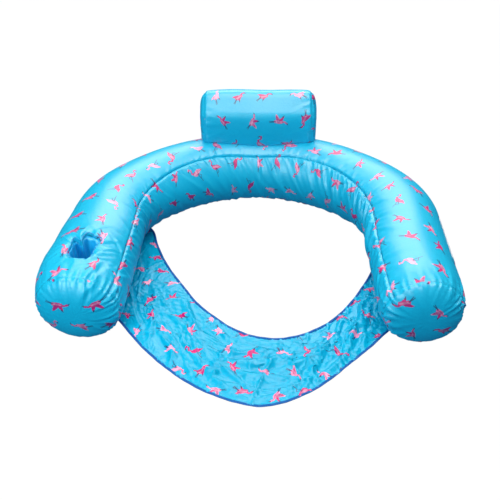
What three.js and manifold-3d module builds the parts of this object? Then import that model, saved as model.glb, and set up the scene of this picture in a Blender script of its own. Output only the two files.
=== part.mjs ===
// Fabric-covered inflatable pool float: a U-shaped air tube in a sewn cover, with a
// headrest pillow on the rear of the tube, a sling seat between the arms and a cup
// pocket in one arm. Millimetres, +Z up, +Y towards the headrest, +X towards the
// arm that has the zipper. The origin is on the ground under the centre of the
// float's box.
import * as THREE from "three";
import { mergeVertices } from "three/addons/utils/BufferGeometryUtils.js";
import Module from "manifold-3d";

const wasm = await Module();
wasm.setup();

// ---------------------------------------------------------------- dimensions
const Y0 = 57.6; // from the middle of the U's straight-to-curved line to the origin
const TUBE_HALF_SPAN = 400; // centreline of an arm to the middle plane
const BACK_DEPTH = 329.8; // centreline of the rear arc behind that line
const BACK_POWER = 1.8166; // superellipse power of the rear arc
const ARM_LENGTH = 345.4;
const ARM_TOE_IN = 15.5;
const ARM_BOW = 10.3;
const R_ARM_END = 97.4; // tube radius at the ends of the arms
const R_BACK = 102.8; // tube radius at the middle of the rear arc
const SQUAT = 0.97; // height of the tube's section over its width
const END_DOME = 33; // how far an end panel bulges
const SKIN = 1.2; // thickness of a cover panel
const GAP = 0.4; // running gap between pieces that are sewn or lie together
const FILM = 1.2; // thickness of the bladder wall
const BLADDER_IN = SKIN + GAP; // the bladder's outside lies this far inside the cover
const SEAM_OUT = -8; // degrees round the section: 0 outward, 90 up, 180 inward
const SEAM_IN_LOW = 250;
const SEAM_IN_ARM = 149; // upper inner seam along the arms
const SEAM_IN_BACK = 127; // upper inner seam along the rear arc
const SEAM_DIP = 9; // and how much lower it runs under the headrest
const N_TOP = 7,
  N_INNER = 4,
  N_BOTTOM = 5; // facets round each panel
const FLAT = 7; // degrees each side of the lowest line that lie flat on the ground
const N_BACK = 20,
  N_ARM = 3; // facets along the rear arc and along an arm

const CUP = { x: -394.6, y: -238, rim: 45.2, foot: 41, floorZ: 75, well: 49.4 };

const HEAD = {
  y: 335,
  base: 203.5,
  half: 166,
  thick: 59,
  tall: 141.5,
  powerX: 5,
  power: 2.7,
  wrap: 148,
}; // headrest pillow
const ZIP = { tape: 11, tapeThick: 1.0, teeth: 3.0 };

// ---------------------------------------------------------------- materials
const C = (r, g, b) => new THREE.Color(r, g, b);
const mat = (color, roughness, metalness = 0) =>
  new THREE.MeshStandardMaterial({ color, roughness, metalness });
const cyanSatin = mat(C(0.12, 0.62, 0.78), 0.38);
const blueLining = mat(C(0.04, 0.13, 0.36), 0.5);
const blueBinding = mat(C(0.03, 0.11, 0.32), 0.55);
const clearFilm = mat(C(0.72, 0.8, 0.84), 0.25);
const zipTape = mat(C(0.1, 0.55, 0.72), 0.7);
const zipTeeth = mat(C(0.1, 0.5, 0.68), 0.4);
const zipMetal = mat(C(0.62, 0.64, 0.66), 0.3, 0.8);
const valveWhite = mat(C(0.85, 0.88, 0.9), 0.35);
const patchWhite = mat(C(0.92, 0.92, 0.92), 0.6);

const part = new THREE.Group();
const add = (name, geometry, material, into = part) => {
  const m = new THREE.Mesh(geometry, material);
  m.name = name;
  into.add(m);
  return m;
};

// ---------------------------------------------------------------- mesh helpers
const V = (x, y, z) => new THREE.Vector3(x, y, z);

function bare(g) {
  const s = new THREE.BufferGeometry().setAttribute(
    "position",
    g.getAttribute("position").clone(),
  );
  if (g.index) s.setIndex(g.index.clone());
  return mergeVertices(s, 1e-4);
}
function signedVolume(g) {
  const p = g.getAttribute("position"),
    ix = g.index.array;
  let v = 0;
  const a = V(),
    b = V(),
    c = V();
  for (let i = 0; i < ix.length; i += 3) {
    a.fromBufferAttribute(p, ix[i]);
    b.fromBufferAttribute(p, ix[i + 1]);
    c.fromBufferAttribute(p, ix[i + 2]);
    v += a.dot(b.clone().cross(c));
  }
  return v / 6;
}
function faceOut(g) {
  if (signedVolume(g) < 0) {
    const ix = g.index.array;
    for (let i = 0; i < ix.length; i += 3)
      [ix[i + 1], ix[i + 2]] = [ix[i + 2], ix[i + 1]];
  }
  return g;
}
function fromTriangles(points, tris) {
  const g = new THREE.BufferGeometry();
  g.setAttribute(
    "position",
    new THREE.Float32BufferAttribute(points.flatMap((p) => [p.x, p.y, p.z]), 3),
  );
  g.setIndex(tris);
  return faceOut(mergeVertices(g, 1e-4));
}
function solid(g) {
  const b = faceOut(bare(g));
  return new wasm.Manifold(
    new wasm.Mesh({
      numProp: 3,
      vertProperties: new Float32Array(b.getAttribute("position").array),
      triVerts: new Uint32Array(b.index.array),
    }),
  );
}
function geometryOf(s) {
  const m = s.getMesh(),
    out = new Float32Array(m.numVert * 3);
  for (let i = 0; i < m.numVert; i++)
    for (let k = 0; k < 3; k++)
      out[3 * i + k] = m.vertProperties[i * m.numProp + k];
  const g = new THREE.BufferGeometry();
  g.setAttribute("position", new THREE.BufferAttribute(out, 3));
  g.setIndex(new THREE.BufferAttribute(new Uint32Array(m.triVerts), 1));
  return g;
}
// A thin strip lofted along stations: each station has an outer and an inner row
// of the same number of points.
function strip(stations) {
  const n = stations[0].outer.length,
    ring = 2 * n,
    pts = [],
    t = [];
  for (const s of stations) pts.push(...s.outer, ...[...s.inner].reverse());
  for (let i = 0; i + 1 < stations.length; i++)
    for (let k = 0; k < ring; k++) {
      const k2 = (k + 1) % ring,
        a = i * ring + k,
        b = i * ring + k2,
        c = a + ring,
        d = b + ring;
      // both faces are split along the same diagonal, so they stay one thickness apart
      if (k < n - 1) t.push(a, b, d, a, d, c);
      else t.push(a, b, c, b, d, c);
    }
  for (const [base, flip] of [
    [0, true],
    [(stations.length - 1) * ring, false],
  ])
    for (let k = 0; k + 1 < n; k++) {
      const o1 = base + k,
        o2 = base + k + 1,
        i1 = base + ring - 1 - k,
        i2 = base + ring - 2 - k;
      if (flip) t.push(o1, i2, o2, o1, i1, i2);
      else t.push(o1, o2, i2, o1, i2, i1);
    }
  return fromTriangles(pts, t);
}
// A closed skin through rings of points, ended by a point at each end.
function skin(first, rings, last) {
  const n = rings[0].length,
    pts = [first, ...rings.flat(), last],
    t = [];
  for (let k = 0; k < n; k++) t.push(0, 1 + ((k + 1) % n), 1 + k);
  for (let i = 0; i + 1 < rings.length; i++)
    for (let k = 0; k < n; k++) {
      const a = 1 + i * n + k,
        b = 1 + i * n + ((k + 1) % n);
      t.push(a, b, b + n, a, b + n, a + n);
    }
  const end = pts.length - 1,
    base = 1 + (rings.length - 1) * n;
  for (let k = 0; k < n; k++) t.push(base + k, base + ((k + 1) % n), end);
  return fromTriangles(pts, t);
}
// A local frame: origin p, x along e1, y along e2, z along n.
function frameAt(p, e1, n) {
  const z = n.clone().normalize(),
    x = e1.clone().addScaledVector(z, -e1.dot(z)).normalize(),
    y = z.clone().cross(x);
  return new THREE.Matrix4().makeBasis(x, y, z).setPosition(p);
}
const moved = (g, m) => g.clone().applyMatrix4(m);
const box = (x0, x1, y0, y1, z0, z1) =>
  new THREE.BoxGeometry(x1 - x0, y1 - y0, z1 - z0).translate(
    (x0 + x1) / 2,
    (y0 + y1) / 2,
    (z0 + z1) / 2,
  );
const lathe = (profile, n = 20) =>
  new THREE.LatheGeometry(
    profile.map(([r, z]) => new THREE.Vector2(r, z)),
    n,
  ).rotateX(Math.PI / 2);
const rod = (r, z0, z1, n = 20) =>
  lathe([[0, z0], [r, z0], [r, z1], [0, z1]], n);

// ---------------------------------------------------------------- the U tube
const radiusAt = (y) =>
  R_ARM_END +
  ((R_BACK - R_ARM_END) * (y + ARM_LENGTH)) / (BACK_DEPTH + ARM_LENGTH);

function centre(side, s) {
  // s runs 1 (end of the arm) to 0 (start of the arc)
  return [
    side * (TUBE_HALF_SPAN + ARM_BOW * s * s - ARM_TOE_IN * s),
    -ARM_LENGTH * s,
  ];
}
const stations = [];
function pushStation(x, y, dx, dy) {
  const l = Math.hypot(dx, dy),
    back = Math.max(0, Math.min(1, y / BACK_DEPTH));
  stations.push({
    x,
    y,
    nx: -dy / l, // outward, for a line that runs left arm, rear, right arm
    ny: dx / l,
    r: radiusAt(y),
    seam:
      SEAM_IN_ARM +
      (SEAM_IN_BACK - SEAM_IN_ARM) * back * back * (3 - 2 * back) +
      SEAM_DIP * back * Math.exp(-((x / 115) ** 2)),
  });
}
for (let i = 0; i < N_ARM; i++) {
  const s = 1 - i / N_ARM,
    [x, y] = centre(-1, s);
  pushStation(x, y, -(2 * ARM_BOW * s - ARM_TOE_IN) * -1, ARM_LENGTH);
}
for (let i = 0; i <= N_BACK; i++) {
  const t = Math.PI * (1 - i / N_BACK),
    c = Math.cos(t),
    s = Math.sin(t),
    p = 2 / BACK_POWER,
    f = (tt) => [
      Math.sign(Math.cos(tt)) *
        TUBE_HALF_SPAN *
        Math.pow(Math.abs(Math.cos(tt)), p),
      BACK_DEPTH * Math.pow(Math.max(0, Math.sin(tt)), p),
    ];
  const [x, y] = f(t);
  if (i === 0) pushStation(x, y, 0, 1);
  else if (i === N_BACK) pushStation(x, y, 0, -1);
  else {
    const e = 1e-3,
      [xa, ya] = f(t + e),
      [xb, yb] = f(t - e);
    pushStation(x, y, xb - xa, yb - ya);
  }
}
for (let i = N_ARM - 1; i >= 0; i--) {
  const s = 1 - i / N_ARM,
    [x, y] = centre(1, s);
  pushStation(x, y, 2 * ARM_BOW * s - ARM_TOE_IN, -ARM_LENGTH);
}

const rad = Math.PI / 180;
const anglesFor = (st) => {
  const a = [];
  for (let k = 0; k < N_TOP; k++)
    a.push(SEAM_OUT + ((st.seam - SEAM_OUT) * k) / N_TOP);
  for (let k = 0; k < N_INNER; k++)
    a.push(st.seam + ((SEAM_IN_LOW - st.seam) * k) / N_INNER);
  const low = 270 + FLAT,
    rest = 360 + SEAM_OUT - low;
  a.push(SEAM_IN_LOW, 270 - FLAT, low, low + rest / 3, low + (2 * rest) / 3);
  return a;
};
function onSection(st, deg, inset, scale = 1, along = 0) {
  const q = deg * rad,
    h = (st.r - inset) * Math.cos(q) * scale,
    zc = st.r * SQUAT,
    flat = scale === 1 && Math.abs((((deg % 360) + 360) % 360) - 270) < FLAT + 0.01,
    v = flat ? inset - zc : (st.r * SQUAT - inset) * Math.sin(q) * scale;
  // along is a step along the centreline, away from the float at the arm's end
  return V(
    st.x + st.nx * h + st.ny * along,
    st.y + st.ny * h - st.nx * along + Y0,
    zc + v,
  );
}
// The panel between two of the section's angles, with half a gap at each seam.
function panel(from, count) {
  return strip(
    stations.map((st) => {
      const a = [...anglesFor(st), 360 + SEAM_OUT],
        g = (GAP / 2 / st.r / rad) * 1.2,
        row = [];
      for (let k = 0; k <= count; k++) row.push(a[from + k]);
      row[0] += g;
      row[count] -= g;
      return {
        outer: row.map((d) => onSection(st, d, 0)),
        inner: row.map((d) => onSection(st, d, SKIN)),
      };
    }),
  );
}
// The whole tube, inset by a distance, closed by domed ends.
function tube(inset) {
  const rings = [];
  const N_DOME = 4;
  const left = stations[0],
    right = stations[stations.length - 1];
  const dome = (st, sign, j) => {
    const q = (j / N_DOME) * (Math.PI / 2);
    return anglesFor(st).map((d) =>
      onSection(
        st,
        d,
        inset,
        Math.cos(q),
        sign * (END_DOME - inset) * Math.sin(q),
      ),
    );
  };
  for (let j = N_DOME - 1; j > 0; j--) rings.push(dome(left, -1, j));
  for (const st of stations) rings.push(anglesFor(st).map((d) => onSection(st, d, inset)));
  for (let j = 1; j < N_DOME; j++) rings.push(dome(right, 1, j));
  return skin(
    onSection(left, 0, inset, 0, -(END_DOME - inset)),
    rings,
    onSection(right, 0, inset, 0, END_DOME - inset),
  );
}
// A domed end panel over the open end of an arm.
function endPanel(st, sign) {
  const N_DOME = 4,
    a = anglesFor(st),
    n = a.length,
    pts = [],
    t = [];
  const row = (inset, j) => {
    const q = (j / N_DOME) * (Math.PI / 2);
    return a.map((d) =>
      onSection(
        st,
        d,
        inset,
        Math.cos(q),
        sign * (GAP + (END_DOME - inset - GAP) * Math.sin(q)),
      ),
    );
  };
  for (const inset of [0, SKIN]) {
    for (let j = 0; j < N_DOME; j++) pts.push(...row(inset, j));
    pts.push(onSection(st, 0, inset, 0, sign * (END_DOME - inset)));
  }
  const half = N_DOME * n + 1;
  for (const [o, f] of [
    [0, false],
    [half, true],
  ]) {
    const tri = (x, y, z) => (f ? t.push(x, z, y) : t.push(x, y, z));
    for (let j = 0; j + 1 < N_DOME; j++)
      for (let k = 0; k < n; k++) {
        const p = o + j * n + k,
          q = o + j * n + ((k + 1) % n);
        tri(p, q, q + n);
        tri(p, q + n, p + n);
      }
    for (let k = 0; k < n; k++)
      tri(
        o + (N_DOME - 1) * n + k,
        o + (N_DOME - 1) * n + ((k + 1) % n),
        o + N_DOME * n,
      );
  }
  for (let k = 0; k < n; k++) {
    const k2 = (k + 1) % n;
    t.push(k2, k, half + k, k2, half + k, half + k2);
  }
  return fromTriangles(pts, t);
}

const cupAt = new THREE.Matrix4().setPosition(CUP.x, CUP.y + Y0, 0);
const cupHole = solid(moved(rod(CUP.rim + 2.4, 120, 260, 28), cupAt));
const tubeOuter = solid(tube(0));

// Middle of one facet of the tube, at a given inset.
function facet(i, k, inset) {
  const a = stations[i],
    b = stations[i + 1],
    A = [...anglesFor(a), 360 + SEAM_OUT],
    B = [...anglesFor(b), 360 + SEAM_OUT];
  const p = [
    onSection(a, A[k], inset),
    onSection(a, A[k + 1], inset),
    onSection(b, B[k], inset),
    onSection(b, B[k + 1], inset),
  ];
  const c = p
      .reduce((s, q) => s.add(q), V(0, 0, 0))
      .multiplyScalar(0.25),
    along = p[2].clone().add(p[3]).sub(p[0]).sub(p[1]).normalize(),
    round = p[1].clone().add(p[3]).sub(p[0]).sub(p[2]).normalize();
  const n = round.clone().cross(along).normalize();
  const out = V(
    ((a.nx + b.nx) / 2) * Math.cos(A[k] * rad),
    ((a.ny + b.ny) / 2) * Math.cos(A[k] * rad),
    Math.sin(A[k] * rad),
  );
  if (n.dot(out) < 0) n.negate();
  return { c, n, along };
}

// ---------------------------------------------------------------- air valve of the tube
// On the outer rear-left of the tube, through a hole in the top panel.
const vf = facet(N_ARM + 5, 1, BLADDER_IN);
const valveFrame = frameAt(vf.c, vf.along, vf.n);
const VALVE_HOLE = 25,
  PORT = 12.6;
const valveCoverHole = solid(moved(rod(VALVE_HOLE, -14, 14, 28), valveFrame));
const valvePort = solid(moved(rod(PORT + 0.4, -16, 16, 24), valveFrame));

add(
  "valve_base",
  moved(
    lathe(
      [
        [8, -9],
        [12.2, -9],
        [12.2, 0.4],
        [22.5, 0.4],
        [22.5, 1.3],
        [21.5, 1.7],
        [14.2, 1.7],
        [14.2, 9.2],
        [11.2, 9.2],
        [11.2, -6.5],
        [8, -6.5],
        [8, -9],
      ],
      24,
    ),
    valveFrame,
  ),
  valveWhite,
);
// The one-way flap under the seat, hinged at its edge.
const FLAP_Z = -9.4;
{
  const disc = solid(rod(9.6, FLAP_Z - 0.9, FLAP_Z, 20)),
    lug = solid(box(7, 12.2, -3, 3, FLAP_Z - 0.9, FLAP_Z));
  add(
    "valve_check_flap",
    moved(geometryOf(disc.add(lug)), valveFrame),
    clearFilm,
  );
}
// Swivel ring in a groove of the cap, and the tether from the base to it.
add(
  "valve_swivel_ring",
  moved(
    lathe([[15.2, 4.2], [17.6, 4.2], [17.6, 6.2], [15.2, 6.2], [15.2, 4.2]], 24),
    valveFrame,
  ),
  valveWhite,
);
{
  const ring = solid(
      lathe([[14.6, 2.1], [17, 2.1], [17, 3.5], [14.6, 3.5], [14.6, 2.1]], 24),
    ),
    strap = solid(box(16.4, 27, -2.5, 2.5, 2.1, 3.2)),
    turn = solid(box(25.8, 27, -2.5, 2.5, 2.1, 6.1)),
    back = solid(box(18, 27, -2.5, 2.5, 4.9, 6.1));
  add(
    "valve_tether",
    moved(geometryOf(ring.add(strap).add(turn).add(back)), valveFrame),
    valveWhite,
  );
}
{
  const grip = new THREE.Shape();
  const N = 24;
  for (let i = 0; i < 2 * N; i++) {
    const q = (i / (2 * N)) * 2 * Math.PI,
      r = i % 2 ? 16.2 : 17.2;
    grip[i ? "lineTo" : "moveTo"](r * Math.cos(q), r * Math.sin(q));
  }
  grip.closePath();
  const body = solid(
    new THREE.ExtrudeGeometry(grip, {
      depth: 6,
      bevelEnabled: false,
      steps: 1,
    }).translate(0, 0, 6.6),
  );
  const neck = solid(rod(14.9, 3.9, 7, 24)),
    hollow = solid(rod(14.5, 2, 9.6, 24)),
    plug = solid(rod(10.8, 1.5, 10, 24));
  add(
    "valve_cap",
    moved(geometryOf(body.add(neck).subtract(hollow).add(plug)), valveFrame),
    valveWhite,
  );
}

// ---------------------------------------------------------------- zippers
// A closed zipper in its own frame: x along it, z out of the cover.
function zipper(prefix, frame, length, into) {
  const L = length / 2,
    w = ZIP.tape,
    g = into;
  add(
    prefix + "_tape_upper",
    moved(box(-L, L, ZIP.teeth / 2 + 0.35, w, -ZIP.tapeThick, 0), frame),
    zipTape,
    g,
  );
  add(
    prefix + "_tape_lower",
    moved(box(-L, L, -w, -ZIP.teeth / 2 - 0.35, -ZIP.tapeThick, 0), frame),
    zipTape,
    g,
  );
  // the closed coil, with its two end stops
  const coil = new THREE.Shape();
  const h = ZIP.teeth / 2;
  [
    [-h, -1],
    [h, -1],
    [h, 0.3],
    [h * 0.7, 0.9],
    [-h * 0.7, 0.9],
    [-h, 0.3],
  ].forEach(([a, b], i) => coil[i ? "lineTo" : "moveTo"](a, b));
  coil.closePath();
  const toX = new THREE.Matrix4().makeBasis(V(0, 1, 0), V(0, 0, 1), V(1, 0, 0));
  add(
    prefix + "_teeth",
    moved(
      new THREE.ExtrudeGeometry(coil, {
        depth: 2 * L - 14,
        bevelEnabled: false,
        steps: 1,
      })
        .translate(0, 0, -(L - 7))
        .applyMatrix4(toX),
      frame,
    ),
    zipTeeth,
    g,
  );
  for (const [n, a] of [
    ["_front_stop", -L + 3],
    ["_rear_stop", L - 6],
  ])
    add(
      prefix + n,
      moved(box(a, a + 3, -ZIP.teeth / 2, ZIP.teeth / 2, -1, 1.4), frame),
      zipMetal,
      g,
    );
  // slider: a shell over the coil, with the loop that holds the pull tab
  const sx = -L + 8;
  const shell = solid(box(sx, sx + 11, -4.2, 4.2, 0.35, 3.2)),
    channel = solid(box(sx - 1, sx + 12, -2.1, 2.1, 0, 1.5)),
    postA = solid(box(sx + 2.1, sx + 8.3, -0.9, 0.9, 3, 6.6)),
    slot = solid(box(sx + 3.6, sx + 6.8, -2, 2, 3.3, 5.4));
  add(
    prefix + "_slider",
    moved(geometryOf(shell.subtract(channel).add(postA).subtract(slot)), frame),
    zipMetal,
    g,
  );
  // pull tab: an eye round the slider's loop and a flat tongue, lying along the tape
  const eye = solid(box(sx + 4.5, sx + 11, -4, 4, 3.75, 4.95)),
    eyeHole = solid(box(sx + 5.9, sx + 9.6, -1.5, 1.5, 3, 6)),
    tongue = solid(box(sx + 10.6, sx + 31, -3.6, 3.6, 3.75, 4.95)),
    tip = solid(box(sx + 24.5, sx + 28, -1.6, 1.6, 3, 6));
  add(
    prefix + "_pull_tab",
    moved(geometryOf(eye.subtract(eyeHole).add(tongue).subtract(tip)), frame),
    zipMetal,
    g,
  );
}
// The main zipper closes the outer seam of the right arm.
const ZIP_LENGTH = 290;
const armPoint = (y) => {
  const s = -y / ARM_LENGTH,
    [x] = centre(1, s),
    st = { x, y, nx: 1, ny: 0, r: radiusAt(y) };
  return onSection(st, SEAM_OUT, 0);
};
const za = armPoint(-318),
  zb = armPoint(-28);
const zc = za.clone().add(zb).multiplyScalar(0.5),
  ze = zb.clone().sub(za).normalize();
const zn = V(Math.cos(SEAM_OUT * rad), 0, Math.sin(SEAM_OUT * rad));
const zipFrame = frameAt(
  zc.clone().addScaledVector(zn, -1.4),
  ze,
  zn,
);
const zipCut = solid(
  moved(
    box(-ZIP_LENGTH / 2 - 1, ZIP_LENGTH / 2 + 1, -ZIP.tape - 0.6, ZIP.tape + 0.6, -4, 12),
    zipFrame,
  ),
);
const zipWell = solid(
  moved(
    box(-ZIP_LENGTH / 2 - 2, ZIP_LENGTH / 2 + 2, -ZIP.tape - 3, ZIP.tape + 3, -1.5, 14),
    zipFrame,
  ),
);

// ---------------------------------------------------------------- cover panels of the tube
add(
  "cover_top_panel",
  geometryOf(
    solid(panel(0, N_TOP))
      .subtract(cupHole)
      .subtract(valveCoverHole)
      .subtract(zipCut),
  ),
  cyanSatin,
);
add("cover_inner_panel", panel(N_TOP, N_INNER), cyanSatin);
add(
  "cover_bottom_panel",
  geometryOf(solid(panel(N_TOP + N_INNER, N_BOTTOM)).subtract(zipCut)),
  cyanSatin,
);
add("end_panel_left", endPanel(stations[0], -1), cyanSatin);
add("end_panel_right", endPanel(stations[stations.length - 1], 1), cyanSatin);

zipper("zipper", zipFrame, ZIP_LENGTH, part);

// ---------------------------------------------------------------- air bladder of the tube
{
  const well = solid(moved(rod(CUP.well, CUP.floorZ - 3, 260, 28), cupAt)),
    wellWall = solid(
      moved(rod(CUP.well + FILM, CUP.floorZ - 3 - FILM, 260, 28), cupAt),
    ),
    outside = solid(tube(BLADDER_IN)).subtract(well).subtract(zipWell),
    inside = solid(tube(BLADDER_IN + FILM + 0.6))
      .subtract(wellWall)
      .subtract(
        solid(
          moved(
            box(-ZIP_LENGTH / 2 - 4, ZIP_LENGTH / 2 + 4, -ZIP.tape - 5, ZIP.tape + 5, -3.2, 14),
            zipFrame,
          ),
        ),
      );
  add(
    "main_bladder",
    geometryOf(outside.subtract(inside).subtract(valvePort)),
    clearFilm,
  );
}

// ---------------------------------------------------------------- cup pocket
{
  const cup = solid(
    moved(
      lathe(
        [
          [0, CUP.floorZ],
          [CUP.foot, CUP.floorZ],
          [CUP.rim, CUP.floorZ + 60],
          [CUP.rim, 230],
          [CUP.rim - SKIN, 230],
          [CUP.rim - SKIN, CUP.floorZ + 60],
          [CUP.foot - SKIN, CUP.floorZ + SKIN],
          [0, CUP.floorZ + SKIN],
        ],
        28,
      ),
      cupAt,
    ),
  );
  add("cup_pocket", geometryOf(cup.intersect(tubeOuter)), blueLining);
  const rim = solid(
    moved(
      lathe(
        [
          [CUP.rim + 0.4, 150],
          [CUP.rim + 1.9, 150],
          [CUP.rim + 1.9, 230],
          [CUP.rim + 0.4, 230],
          [CUP.rim + 0.4, 150],
        ],
        28,
      ),
      cupAt,
    ),
  );
  add(
    "cup_binding",
    geometryOf(rim.intersect(solid(tube(-1.4))).subtract(solid(tube(4)))),
    blueBinding,
  );
}

// ---------------------------------------------------------------- sling seat
// The sheet hangs slack and lies on the ground between the arms; its sides are sewn
// into the lower inner seams of the tube.
const REAR_HEM = [
  [-362, 118], [-336, 124], [-305, 106], [-291, 60], [-275, 16], [-258, -25],
  [-238, -66], [-214, -108], [-183, -155], [-154, -202], [-127, -237], [-94, -269],
  [-60, -301], [-10, -331], [48, -345], [100, -338], [143, -318], [176, -296],
  [210, -263], [235, -230], [259, -195], [279, -158], [301, -118], [320, -70],
  [361, 24],
];
const FRONT_HEM = [
  [-362, -252], [-332, -285], [-274, -357], [-228, -407], [-175, -455],
  [-114, -499], [-73, -520], [-15, -541], [30, -548], [63, -541], [117, -516],
  [178, -471], [226, -422], [278, -371], [325, -318], [361, -282],
];
const hemCurve = (list) =>
  new THREE.SplineCurve(list.map(([x, y]) => new THREE.Vector2(x, y)));
const rearHem = hemCurve(REAR_HEM),
  frontHem = hemCurve(FRONT_HEM);
const SLING_THICK = 1.4,
  BIND = 9,
  N_SLING = 26,
  M_SLING = 4;
const yOn = (curve, x) => {
  let a = 0,
    b = 1;
  for (let i = 0; i < 40; i++) {
    const m = (a + b) / 2;
    if (curve.getPoint(m).x < x) a = m;
    else b = m;
  }
  return curve.getPoint((a + b) / 2).y;
};
// How high the sheet lies: flat in the middle, rising to the seam at each side.
const liftAt = (x) => {
  const q = Math.max(0, (Math.abs(x) - 300) / 62);
  return 4.0 * q * q;
};
function slingStrip(y0, y1, across, low, thick) {
  const rows = [];
  for (let i = 0; i <= N_SLING; i++) {
    const x = -361 + (722 * i) / N_SLING,
      a = y0(x),
      b = y1(x),
      z = liftAt(x) + low,
      outer = [],
      inner = [];
    for (let k = 0; k <= across; k++) {
      const y = a + ((b - a) * k) / across + Y0;
      outer.push(V(x, y, z + thick));
      inner.push(V(x, y, z));
    }
    rows.push({ outer, inner });
  }
  return strip(rows);
}
const clearOfTube = (g) => geometryOf(solid(g).subtract(solid(tube(-0.5))));
add(
  "sling_seat",
  clearOfTube(slingStrip(
    (x) => yOn(frontHem, x) + BIND + GAP,
    (x) => yOn(rearHem, x) - BIND - GAP,
    M_SLING,
    0.1,
    SLING_THICK - 0.2,
  )),
  cyanSatin,
);
add(
  "sling_front_binding",
  clearOfTube(
    slingStrip((x) => yOn(frontHem, x), (x) => yOn(frontHem, x) + BIND, 1, 0, SLING_THICK),
  ),
  blueBinding,
);
add(
  "sling_rear_binding",
  clearOfTube(
    slingStrip((x) => yOn(rearHem, x) - BIND, (x) => yOn(rearHem, x), 1, 0, SLING_THICK),
  ),
  blueBinding,
);

// ---------------------------------------------------------------- side patch
// A blank woven patch on the outer side of the right arm.
{
  const rows = [],
    N = 5;
  for (let i = 0; i <= N; i++) {
    const y = -206 + (168 * i) / N,
      s = Math.max(0, -y / ARM_LENGTH),
      [x] = centre(1, s),
      st = { x, y, nx: 1, ny: 0, r: radiusAt(y) },
      row = [9, 16, 23, 30];
    rows.push({
      outer: row.map((d) => onSection(st, d, -1.6)),
      inner: row.map((d) => onSection(st, d, -0.7)),
    });
  }
  add("side_patch", strip(rows), patchWhite);
}

// ---------------------------------------------------------------- headrest
const N_HEAD = 14;
const headScale = (x, inset) => {
  const u = Math.min(1, Math.abs(x) / (HEAD.half - inset));
  return Math.pow(1 - Math.pow(u, HEAD.powerX), 1 / HEAD.powerX);
};
function headRow(x, inset, base = 0) {
  const k = headScale(x, inset),
    out = [];
  for (let i = 0; i <= N_HEAD; i++) {
    const q = (Math.PI * i) / N_HEAD,
      c = Math.cos(q),
      s = Math.sin(q),
      p = 2 / HEAD.power;
    out.push(
      V(
        x,
        HEAD.y + Y0 - Math.sign(c) * Math.pow(Math.abs(c), p) * (HEAD.thick - inset) * k,
        HEAD.base +
          base +
          Math.pow(Math.max(0, s), p) * (HEAD.tall - inset - base) * k,
      ),
    );
  }
  return out;
}
const headXs = [-148, -128, -96, -48, 0, 48, 96, 128, 148];
const headZipFrame = frameAt(
  V(0, HEAD.y + Y0 + HEAD.thick - 1.2, HEAD.base + 30),
  V(-1, 0, 0),
  V(0, 1, 0.0),
);
const HEAD_ZIP = 200;
const headZipCut = solid(
  moved(
    box(-HEAD_ZIP / 2 - 1, HEAD_ZIP / 2 + 1, -ZIP.tape - 0.6, ZIP.tape + 0.6, -6, 14),
    headZipFrame,
  ),
);
const HV = { x: -70, z: HEAD.base + 78 }; // the headrest's valve, on its rear
const headValveFrame = frameAt(
  V(HV.x, HEAD.y + Y0 + HEAD.thick - 7.6, HV.z),
  V(1, 0, 0),
  V(0, 1, 0.16),
);
const headrest = new THREE.Group();
part.add(headrest);
add(
  "headrest_wrap_panel",
  geometryOf(
    solid(strip(headXs.map((x) => ({ outer: headRow(x, 0), inner: headRow(x, SKIN) }))))
      .subtract(headZipCut)
      .subtract(solid(moved(rod(11, -16, 22, 20), headValveFrame))),
  ),
  cyanSatin,
  headrest,
);
// The pillow's whole outer form, inset by a distance, with its base lifted or lowered.
const pillowForm = (inset, base) => {
  const xs = [-1, -0.985, -0.955, -0.9, -0.8, -0.6, -0.3, 0, 0.3, 0.6, 0.8, 0.9, 0.955, 0.985, 1].map(
      (u) => u * (HEAD.half - inset),
    ),
    rings = xs.slice(1, -1).map((x) => headRow(x, inset, base)),
    end = (x) => V(x, HEAD.y + Y0, HEAD.base + base + 8);
  return skin(end(xs[0]), rings, end(xs[xs.length - 1]));
};
for (const side of [-1, 1]) {
  const span = [side * 148.5, side * 180].sort((a, b) => a - b);
  add(
    side < 0 ? "headrest_end_left" : "headrest_end_right",
    geometryOf(
      solid(pillowForm(0, 0))
        .subtract(solid(pillowForm(SKIN, -1.5)))
        .intersect(solid(box(span[0], span[1], 300, 500, 150, 400))),
    ),
    cyanSatin,
    headrest,
  );
}
{
  const outline = new THREE.Shape();
  const xs = [-163, -160, -155, -148, -135, -100, 0, 100, 135, 148, 155, 160, 163],
    inset = SKIN + GAP + 0.3,
    f = xs.map((x) => [x * 0.985, (HEAD.thick - inset) * headScale(x, 0) * 0.985]);
  f.forEach(([x, h], i) =>
    outline[i ? "lineTo" : "moveTo"](x, HEAD.y + Y0 - h),
  );
  [...f].reverse().forEach(([x, h]) => outline.lineTo(x, HEAD.y + Y0 + h));
  outline.closePath();
  add(
    "headrest_base_panel",
    new THREE.ExtrudeGeometry(outline, {
      depth: SKIN,
      bevelEnabled: false,
      steps: 1,
    }).translate(0, 0, HEAD.base),
    cyanSatin,
    headrest,
  );
}
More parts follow.
